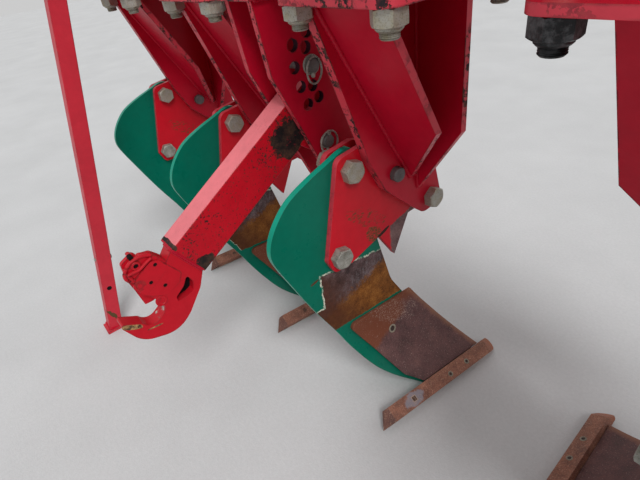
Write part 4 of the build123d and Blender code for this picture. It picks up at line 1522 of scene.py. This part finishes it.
def hook_body(side):
    """The forged hook: a deep C, two cheeks with the latch's slot between them, and flat cover plates."""
    bm = bmesh.new()
    head = ((402, 128, 0), (430, 119, 8), (448, 106, 0), (505, 106, 0), (509, 96, 4), (508.5, 80, 0))
    throat = ((508.5, 42, 26), (565.5, 42, 22), (567.5, 69, 3), (588, 108, 3))
    lip_and_belly = ((595, 102, 4), (602, 40, 60), (548, -21, 60), (500, -14, 40), (440, 8, 30), (402, 34, 0))
    pocket = ((433, 58, 4), (437, 34, 6), (452, 19, 8), (468, 21, 8), (492, 33, 4), (484, 43, 6), (456, 46, 12))
    hook_plate(bm, head + throat + lip_and_belly, -13, 23, [rounded(pocket, math.radians(7))])
    pocket_floor = ((425, 70, 0), (430, 10, 0), (500, 10, 0), (500, 60, 0))
    hook_plate(bm, pocket_floor, -6, 2)
    cheek = ((428, 104, 0), (430, 128, 6), (433, 158, 12), (446, 176, 8), (488, 176, 8), (500, 156, 10))
    hook_plate(bm, cheek + ((512, 124, 8), (509, 104, 3)), 8, 21)
    far_cheek = ((428, 104, 0), (430, 128, 6), (434, 148, 10), (450, 162, 8), (486, 160, 8), (502, 142, 10))
    hook_plate(bm, far_cheek + ((511, 120, 8), (509, 104, 3)), -13, -4)
    tube_end = [Vector(p) for p in ((401, 31), (404, 31), (404, 129), (401, 129))]
    cut_plate(bm, arm_spot, tube_end, [], -28.5, 28.5)
    cover = ((497, 150, 4), (446, 149, 8), (435, 138, 8), (433, 74, 10), (452, 62, 0), (486, 64, 14))
    holes = [circle_points(u, v, 4.2, 20) for u, v in COVER_HOLES]
    for low, high in ((20.5, 24.5), (-14.5, -10.5)):
        hook_plate(bm, cover + ((505, 92, 14), (513, 118, 6)), low, high, holes)
    for face, x in ((INWARD, 20.0), (OUTWARD, -10.0)):
        turned(bm, arm_spot(499, 133, x), face, [(0, 12), (3.4, 12), (4.4, 11), (4.4, 7.5), (3.2, 6.5)], 32)
    turned(bm, arm_spot(467, 169, 18), INWARD, [(0, 9.5), (8, 9.5), (9, 8.5), (9, 5.2), (5, 5)], 32)
    turned(bm, arm_spot(506, 68, 21), INWARD, [(0, 13), (2.6, 13), (3.2, 12), (3.2, 9), (2.2, 8)], 32)
    turn_to_side(bm, side)
    return bm


def hook_latch_piece(side):
    """The latch: its tip that closes the throat, and its two spring rods bent round the hook's head."""
    bm = bmesh.new()
    shank = ((452, 183, 6), (452, 106, 0), (500, 106, 0), (505, 92, 0), (507, 71, 0))
    tip = ((518, 75, 3), (532, 84, 3), (527, 97, 4), (516, 124, 6), (506, 152, 8), (484, 186, 8))
    cut_plate(bm, arm_spot, rounded(shank + tip), [], -3, 7.5)
    outer_rod = (
        (434, 158), (437, 164), (446, 174), (457, 180), (472, 183), (488, 179), (496, 173), (500, 164), (498, 154),
        (492, 151),
    )
    inner_rod = ((438, 154), (450, 156), (470, 158), (484, 166), (492, 168), (494, 158), (497, 150))
    for rod, x, radius in ((outer_rod, 24, 3.8), (inner_rod, 25, 3.4)):
        wire_path(bm, smooth_path([arm_spot(u, v, x) for u, v in rod], 5), radius, 10)
    turned(bm, arm_spot(459, 185, -4), INWARD, [(0, 3), (1, 4.5), (25, 4.5), (26, 3)], 20)
    turn_to_side(bm, side)
    return bm


def hook_hole_shade(side):
    """The dark bottoms of the cover plate's small holes, of the cap screw and of the pocket, as painted shade."""
    bm = bmesh.new()
    for face, x in ((INWARD, 23.2), (OUTWARD, -13.2)):
        for u, v in COVER_HOLES:
            turned(bm, arm_spot(u, v, x), face, [(-1, 4.1), (0.2, 4.1), (0.3, 3.5), (0.1, 1)], 20)
    turned(bm, arm_spot(467, 169, 22.5), INWARD, [(0, 5), (1.2, 5), (1.3, 4), (1.2, 1)], 20)
    turned(bm, arm_spot(459, 187, 12), INWARD, [(0, 5), (12, 5), (13, 4)], 20)
    hook_plate(bm, ((430, 62, 0), (430, 14, 0), (497, 14, 0), (497, 56, 0)), 1.0, 3.0)
    turn_to_side(bm, side)
    return bm


def arm_welds(side):
    """The welds round the arm where the hook meets the tube, and those of its boss."""
    bm = bmesh.new()
    for u, near, far, inset, radius, seed in ((402.5, 28.0, -28.0, 1.5, 2.6, 3), (406, 24.0, -14.5, 3.0, 3.4, 4)):
        corners = [(130 - inset, near), (32 + inset, near), (32 + inset, far), (130 - inset, far)]
        bead(bm, [arm_spot(u, v, x) for v, x in corners + corners[:1]], radius, seed)
    for x in (27.0, -27.0):
        for end, seed in ((-1, 5), (1, 6)):
            bead(bm, [arm_spot(44 * end, 30, x), arm_spot(34 * end, 4, x)], 3.5, seed)
    turn_to_side(bm, side)
    return bm


def leg_welds(row):
    """Welds of one row of holders: cheek to flange, gussets to flange and gussets to cheek."""
    bm = bmesh.new()

    def run(points, radius, seed):
        """A bead through points of the inner row, moved to this one."""
        bead(bm, [spot(x - row_shift(row), y, z) for x, y, z in points], radius, row + seed)

    face, back, top = CHEEK_FACE + 1, CHEEK_FACE - CHEEK_THICK - 1, FLANGE_UNDERSIDE - 1
    corner, gusset = CHEEK_FACE + 1.5, CHEEK_FACE + 4
    run([(face, 38, top), (face, 258, top)], 4.5, 0)
    run([(back, 10, top), (back, 274, top)], 4.5, 10)
    rear = 19
    rear_foot = rear + (FLANGE_UNDERSIDE - 618) * 211 / 390
    for offset, seed in ((-1, 20), (17.5, 30)):
        run([(corner, rear + offset, top), (corner, rear_foot + offset * 0.86, 620)], 5.6, seed)
        run([(gusset, rear + offset, top), (gusset + 140, rear + offset, top)], 4.2, seed + 5)
    for y, seed in ((260, 40), (277, 50)):
        run([(corner, y, top), (corner, y, 582)], 4.0, seed)
    run([(gusset, 260, top), (gusset + 110, 260, top)], 4.2, 60)
    add_mirror_image(bm)
    return bm


def frame_welds():
    """Welds of the arm brackets with their pads, of the hitch plates and of the mast on the frame."""
    bm = bmesh.new()

    def run(start, end, seed):
        bead(bm, [spot(*start), spot(*end)], 4, seed)

    under_flange, under_beam = FLANGE_UNDERSIDE - 1, BEAM_UNDERSIDE - 0.5
    for face in BRACKET_FACES:
        for x, off in ((face, 1), (face - BRACKET_THICK, -1)):
            run((x + off, 4, under_flange), (x + off, 236, under_flange), int(-x))
    for x in (PAD_ENDS[0] + 1.5, PAD_ENDS[1] - 1.5):
        run((x, 24, under_beam), (x, 222, under_beam), int(-x))
    for faces in HITCH_PLATES:
        for face, off in zip(faces, (1, -1)):
            x = HITCH_MID + face
            run((x + off, BEAM_FRONT + 1, BEAM_TOP - 4), (x + off, BEAM_FRONT + 1, BEAM_UNDERSIDE + 10), int(-x))
    add_mirror_image(bm)
    for x, start, height in ((51, 30, 1), (29, 44, 66), (-29, 44, 66), (-51, 30, 1)):
        run((x, start, BEAM_TOP + height), (x, 216, BEAM_TOP + height), 200 + x)
    return bm


def stand_axes():
    """The left stand's foot, and its directions across, ahead and up along the leaning leg."""
    lean = Matrix.Rotation(-STAND_BACK, 3, "X") @ Matrix.Rotation(STAND_OUT, 3, "Y")
    foot = spot(*STAND_FOOT, FLOOR)
    return foot, *(lean @ Vector(axis) for axis in ((1, 0, 0), (0, 1, 0), (0, 0, 1)))


def stand_holes(side):
    """The ends of a parking stand's pin holes, as dark discs of painted shade."""
    bm = bmesh.new()
    foot, across, _, up = stand_axes()
    for height in STAND_HOLES:
        for face in (across, -across):
            place = foot + (up * height + face * (STAND_HALF - 0.1)) * MM
            turned(bm, place, face, [(-1, 8.2), (0.25, 8.2), (0.35, 7.4), (0.2, 3)], 24)
    turn_to_side(bm, side)
    return bm


def stand_bolt(side):
    """The small bolt low on a stand: its head in front and its end behind."""
    bm = bmesh.new()
    foot, _, ahead, up = stand_axes()
    middle = foot + up * STAND_BOLT * MM
    hex_block(bm, middle + ahead * STAND_HALF * MM, ahead, 13, 6, 0.3)
    turned(bm, middle - ahead * STAND_HALF * MM, -ahead, [(0, 6), (3, 6), (4, 5)], 20)
    turn_to_side(bm, side)
    return bm


def stand_foot_welds(side):
    """The bead between a stand's leg and its foot plate."""
    bm = bmesh.new()
    foot, across, ahead, up = stand_axes()
    corners = ((1, 1), (1, -1), (-1, -1), (-1, 1), (1, 1))
    off = STAND_HALF + 1
    bead(bm, [foot + (up * 12.5 + (across * a + ahead * b) * off) * MM for a, b in corners], 3.6, 8)
    turn_to_side(bm, side)
    return bm


def sleeve_fittings():
    """Locking pins with their collars and rings on the stand sleeves."""
    bm = bmesh.new()
    foot, across, ahead, up = stand_axes()
    middle = foot + up * SLEEVE_PIN * MM
    turned(bm, middle + across * SLEEVE_HALF * MM, across, [(0, 12), (5, 12), (6, 11)], 28)
    turned(bm, middle + across * (SLEEVE_HALF + 5) * MM, across, [(0, 8), (14, 8), (16, 6.5)], 24)
    turned(bm, middle - across * SLEEVE_HALF * MM, -across, [(0, 8), (16, 8), (18, 6.5)], 24)
    ring_radius = 22
    hung = middle + (across * (SLEEVE_HALF + 17) - up * 0.7 * ring_radius) * MM
    outs = [ahead * math.sin(t) + up * math.cos(t) for t in (*circle(36), 2 * math.pi)]
    wire_path(bm, [hung + out * ring_radius * MM for out in outs], 2.4, 8)
    add_mirror_image(bm)
    return bm


# Settings, operators and panel


class SubsoilerPaint(bpy.types.PropertyGroup):
    """Colours of the finishes, and how worn and dusty they are"""

    red: FloatVectorProperty(
        name="Red", description="Paint of the frame and holders",
        default=(0.48, 0.003, 0.022), subtype="COLOR", min=0, max=1,
    )
    red_leg: FloatVectorProperty(
        name="Bright red", description="Paint of the carriers, arms and hooks",
        default=(0.54, 0.006, 0.018), subtype="COLOR", min=0, max=1,
    )
    red_stand: FloatVectorProperty(
        name="Faded red", description="Paint of the parking stands",
        default=(0.56, 0.026, 0.045), subtype="COLOR", min=0, max=1,
    )
    # A lighter red for plate edges, which is painted highlight.
    red_edge_highlight: FloatVectorProperty(
        name="Red edge highlight", description="Painted highlight on sawn plate edges",
        default=(0.60, 0.048, 0.072), subtype="COLOR", min=0, max=1,
    )
    green: FloatVectorProperty(
        name="Green", description="Paint of the blades",
        default=(0.0, 0.135, 0.085), subtype="COLOR", min=0, max=1,
    )
    # A lighter green for the blades' rims, which is painted highlight.
    green_edge_highlight: FloatVectorProperty(
        name="Green edge highlight", description="Painted highlight on the blades' edges",
        default=(0.0, 0.305, 0.205), subtype="COLOR", min=0, max=1,
    )
    zinc: FloatVectorProperty(
        name="Zinc", description="Plating of bolts and nuts",
        default=(0.37, 0.36, 0.32), subtype="COLOR", min=0, max=1,
    )
    chips: FloatProperty(
        name="Chips", description="How much the paint is chipped",
        default=0.5, min=0, max=2, subtype="FACTOR",
    )
    dust: FloatProperty(
        name="Dust", description="How much dust lies on the machine",
        default=0.09, min=0, max=1, subtype="FACTOR",
    )


class SubsoilerFasteners(bpy.types.PropertyGroup):
    """Size and turns of the bolts"""

    flats: FloatProperty(
        name="Width across flats", description="Hexagons of the frame and leg bolts",
        default=46 * MM, min=0.02, max=0.08, unit="LENGTH", precision=4,
    )
    seed: IntProperty(
        name="Turn seed", description="Sets how far each hexagon is turned",
        default=4, min=0,
    )


class SubsoilerPlates(bpy.types.PropertyGroup):
    """Holes and edges of the plates"""

    pin_hole: FloatProperty(
        name="Pin hole radius", description="Holes round the arms' pins",
        default=15.1 * MM, min=0.015, max=0.02, unit="LENGTH", precision=4,
    )
    spare_hole: FloatProperty(
        name="Spare hole radius", description="Other holes for the locking pin",
        default=12.6 * MM, min=0.005, max=0.014, unit="LENGTH", precision=4,
    )
    edge: FloatProperty(
        name="Edge rounding", description="Rounding of plate edges",
        default=1.2 * MM, min=0.0002, max=0.004, unit="LENGTH", precision=4,
    )


class SubsoilerStage(bpy.types.PropertyGroup):
    """Floor, light and lens"""

    floor: FloatVectorProperty(
        name="Floor", description="Colour of the concrete",
        default=(0.57, 0.575, 0.58), subtype="COLOR", min=0, max=1,
    )
    contrast: FloatProperty(
        name="Blotches", description="How blotchy the concrete is",
        default=0.05, min=0, max=0.5, subtype="FACTOR",
    )
    sun: FloatProperty(
        name="Lamp", description="Strength of the large soft lamp",
        default=2.0, min=0, max=10,
    )
    sky: FloatProperty(
        name="Sky", description="Strength of the even light from all round",
        default=0.6, min=0, max=3,
    )
    lens: FloatProperty(
        name="Lens", description="Focal length on a 36 mm sensor",
        default=FOCAL_SHARE * SENSOR, min=8, max=200, unit="CAMERA",
    )


class Step(bpy.types.Operator):
    """One step of dressing the subsoiler"""

    bl_options = {"REGISTER", "UNDO"}

    @classmethod
    def poll(cls, context):
        return context.scene is not None


class SUBSOILER_OT_frame_paint(Step):
    """Paints the beam, its ends, mast, hitch plates, clamp plates and stand sleeves, and finishes their pins"""

    bl_idname = "subsoiler.frame_paint"
    bl_label = "Paint the frame"

    def execute(self, context):
        edge = context.scene.subsoiler_plates.edge / MM
        for name in ("main_beam", "beam_ends", "stand_sleeves"):
            dress_node(name, finish("red frame paint"), edge)
        for name in ("mast", "hitch_plates"):
            dress_node(name, finish("red plate paint"), edge)
        dress_node("clamp_plates", finish("red clamp paint"), edge)
        for name in ("top_link_pin", "hitch_pins"):
            dress_node(name, finish("grey pin steel"), edge)
        return {"FINISHED"}


class SUBSOILER_OT_leg_paint(Step):
    """Paints the holders, carriers and blades and gives the worn parts their bare steel"""

    bl_idname = "subsoiler.leg_paint"
    bl_label = "Finish the legs"

    def execute(self, context):
        edge = context.scene.subsoiler_plates.edge / MM
        looks = {
            "holders": "red holder paint",
            "carriers": "red carrier paint",
            "wear_plates": "rubbed wear plate",
            "point_bars": "rusty point bar",
        }
        for row in ROWS:
            for part, look in looks.items():
                dress_node(f"{part}_row_{row}", finish(look), edge)
            paint = finish("green blade paint")
            blades = (f"blades_row_{row}",)
            make_piece(f"curled_blades_row_{row}", curled_blades(row), paint, edge=edge, replaces=blades)
        return {"FINISHED"}


class SUBSOILER_OT_frame_bolts(Step):
    """Adds the frame bolts with their locking nuts, washers and heads"""

    bl_idname = "subsoiler.frame_bolts"
    bl_label = "Add frame bolts"

    def execute(self, context):
        look = context.scene.subsoiler_fasteners
        draw = random.Random(look.seed)
        for row in ROWS:
            bolts = frame_bolts(row, look.flats / MM, draw)
            make_piece(f"frame_bolts_row_{row}", bolts, finish("oiled zinc"))
        return {"FINISHED"}


class SUBSOILER_OT_leg_bolts(Step):
    """Adds the pivot, clamp and shear bolts of the legs"""

    bl_idname = "subsoiler.leg_bolts"
    bl_label = "Add leg bolts"

    def execute(self, context):
        look = context.scene.subsoiler_fasteners
        draw = random.Random(look.seed + 1)
        flats = look.flats / MM
        for row in ROWS:
            upper = leg_bolts(row, UPPER_BOLTS, flats, draw)
            make_piece(f"leg_bolts_upper_row_{row}", upper, finish("dull zinc"))
            lower = leg_bolts(row, LOWER_BOLTS, flats, draw)
            make_piece(f"leg_bolts_lower_row_{row}", lower, finish("greyed zinc"))
            make_piece(f"shear_bolts_row_{row}", shear_bolt(row), finish("dark oiled steel"))
        return {"FINISHED"}


class SUBSOILER_OT_wear_fasteners(Step):
    """Adds the worn screws of the wear plates and point bars"""

    bl_idname = "subsoiler.wear_fasteners"
    bl_label = "Add wear part screws"

    def execute(self, context):
        for row in ROWS:
            make_piece(f"wear_screws_row_{row}", wear_fasteners(row), finish("rubbed screw heads"))
            make_piece(f"wear_sockets_row_{row}", wear_socket_shade(row), finish("packed soil"))
        return {"FINISHED"}


class SUBSOILER_OT_brackets(Step):
    """Replaces the arm brackets by plates with round pin holes"""

    bl_idname = "subsoiler.brackets"
    bl_label = "Make arm brackets"

    def execute(self, context):
        look = context.scene.subsoiler_plates
        plates = bracket_plates(look.pin_hole / MM, look.spare_hole / MM)
        paint, edge = finish("red bracket paint"), look.edge / MM
        make_piece("arm_bracket_plates", plates, paint, edge=edge, replaces=("arm_brackets",))
        return {"FINISHED"}


class SUBSOILER_OT_pins(Step):
    """Replaces the arms' pins, and adds linch pins, washers and collars to all pins"""

    bl_idname = "subsoiler.pins"
    bl_label = "Add pin fittings"

    def execute(self, context):
        make_piece("arm_pin_shafts", arm_pin_shafts(), finish("grey pin steel"), replaces=("arm_pins",))
        make_piece("arm_pin_fittings", arm_pin_fittings(), finish("greyed zinc"))
        make_piece("hitch_pin_fittings", hitch_pin_fittings(), finish("greyed zinc"))
        make_piece("top_pin_fittings", top_pin_fittings(), finish("greyed zinc"))
        return {"FINISHED"}


class SUBSOILER_OT_arms(Step):
    """Paints the arms and makes the quick hooks with their latches"""

    bl_idname = "subsoiler.arms"
    bl_label = "Make arms and hooks"

    def execute(self, context):
        for side in ("left", "right"):
            body = f"arm_{side}"
            dress_node(f"arm_tube_{side}", finish("red arm paint"), 2.5)
            paint = finish("red hook paint")
            hook, latch = (f"hook_{side}",), (f"hook_latch_{side}",)
            make_piece(f"quick_hook_{side}", hook_body(side), paint, body, edge=2.2, replaces=hook)
            piece = hook_latch_piece(side)
            make_piece(f"quick_hook_latch_{side}", piece, paint, body, edge=1.0, replaces=latch)
            make_piece(f"quick_hook_hole_shade_{side}", hook_hole_shade(side), finish("dark hollow"), body)
            make_piece(f"arm_welds_{side}", arm_welds(side), finish("weld paint"), body, crease=60)
        return {"FINISHED"}


class SUBSOILER_OT_welds(Step):
    """Adds the weld beads of the legs and frame"""

    bl_idname = "subsoiler.welds"
    bl_label = "Add welds"

    def execute(self, context):
        for row in ROWS:
            make_piece(f"holder_welds_row_{row}", leg_welds(row), finish("weld paint"), crease=60)
        make_piece("frame_welds", frame_welds(), finish("weld paint"), crease=60)
        return {"FINISHED"}


class SUBSOILER_OT_stands(Step):
    """Paints the parking stands and adds painted shade for their holes, and their bolts and locking pins"""

    bl_idname = "subsoiler.stands"
    bl_label = "Finish the parking stands"

    def execute(self, context):
        for side in ("left", "right"):
            body = f"stand_{side}"
            dress_node(f"stand_leg_{side}", finish("red stand paint"), 2.0)
            make_piece(f"stand_holes_{side}", stand_holes(side), finish("dark hollow"), body)
            make_piece(f"stand_bolt_{side}", stand_bolt(side), finish("greyed zinc"), body)
            beads = stand_foot_welds(side)
            make_piece(f"stand_foot_weld_{side}", beads, finish("weld paint"), body, crease=60)
        make_piece("sleeve_pins", sleeve_fittings(), finish("greyed zinc"))
        return {"FINISHED"}


class SUBSOILER_OT_stage(Step):
    """Sets the floor, light and camera"""

    bl_idname = "subsoiler.stage"
    bl_label = "Set the stage"

    def execute(self, context):
        look = context.scene.subsoiler_stage
        bpy.ops.mesh.primitive_plane_add(size=40)
        floor = context.object
        floor.name = "concrete_floor"
        floor.data.materials.append(concrete_finish(tuple(look.floor), look.contrast))
        sky = bpy.data.worlds.new("even sky")
        sky.use_nodes = True
        background = sky.node_tree.nodes["Background"]
        background.inputs["Color"].default_value = (1, 1, 1, 1)
        background.inputs["Strength"].default_value = look.sky
        context.scene.world = sky
        lamp = bpy.data.lights.new("soft lamp", "SUN")
        lamp.energy = look.sun
        lamp.angle = 0.4
        lamp_object = bpy.data.objects.new("soft lamp", lamp)
        lamp_object.rotation_euler = Vector((0.66, -0.22, 0.72)).to_track_quat("Z", "Y").to_euler()
        context.scene.collection.objects.link(lamp_object)
        lens = bpy.data.cameras.new("camera")
        lens.sensor_width = SENSOR
        lens.lens = look.lens
        camera = bpy.data.objects.new("camera", lens)
        context.scene.collection.objects.link(camera)
        tilt = Matrix.Rotation(math.pi / 2 - CAMERA_PITCH, 4, "X") @ Matrix.Rotation(-CAMERA_ROLL, 4, "Z")
        aim = Matrix.Rotation(CAMERA_YAW, 4, "Z") @ tilt
        camera.matrix_world = Matrix.Translation(spot(*CAMERA_PLACE)) @ aim
        context.scene.camera = camera
        context.scene.view_settings.view_transform = "Standard"
        return {"FINISHED"}


STEPS = (
    SUBSOILER_OT_frame_paint,
    SUBSOILER_OT_leg_paint,
    SUBSOILER_OT_frame_bolts,
    SUBSOILER_OT_leg_bolts,
    SUBSOILER_OT_wear_fasteners,
    SUBSOILER_OT_brackets,
    SUBSOILER_OT_pins,
    SUBSOILER_OT_arms,
    SUBSOILER_OT_welds,
    SUBSOILER_OT_stands,
    SUBSOILER_OT_stage,
)


class SUBSOILER_PT_panel(bpy.types.Panel):
    """Lists the settings and steps in the 3D view's sidebar"""

    bl_idname = "SUBSOILER_PT_panel"
    bl_label = "Subsoiler"
    bl_space_type = "VIEW_3D"
    bl_region_type = "UI"
    bl_category = "Subsoiler"

    def draw(self, context):
        layout = self.layout
        for group_name, group in SETTINGS.items():
            box = layout.box()
            for name in group.__annotations__:
                box.prop(getattr(context.scene, group_name), name)
        for step in STEPS:
            layout.operator(step.bl_idname)


SETTINGS = {
    "subsoiler_paint": SubsoilerPaint,
    "subsoiler_fasteners": SubsoilerFasteners,
    "subsoiler_plates": SubsoilerPlates,
    "subsoiler_stage": SubsoilerStage,
}
CLASSES = (*SETTINGS.values(), *STEPS, SUBSOILER_PT_panel)


def register():
    """Registers the settings, steps and panel."""
    for cls in CLASSES:
        bpy.utils.register_class(cls)
    for name, group in SETTINGS.items():
        setattr(bpy.types.Scene, name, PointerProperty(type=group))


def unregister():
    """Takes them out again."""
    for name in SETTINGS:
        delattr(bpy.types.Scene, name)
    for cls in reversed(CLASSES):
        bpy.utils.unregister_class(cls)


def main():
    register()
    for step in STEPS:
        group, name = step.bl_idname.split(".")
        getattr(getattr(bpy.ops, group), name)()


if __name__ == "__main__":
    main()
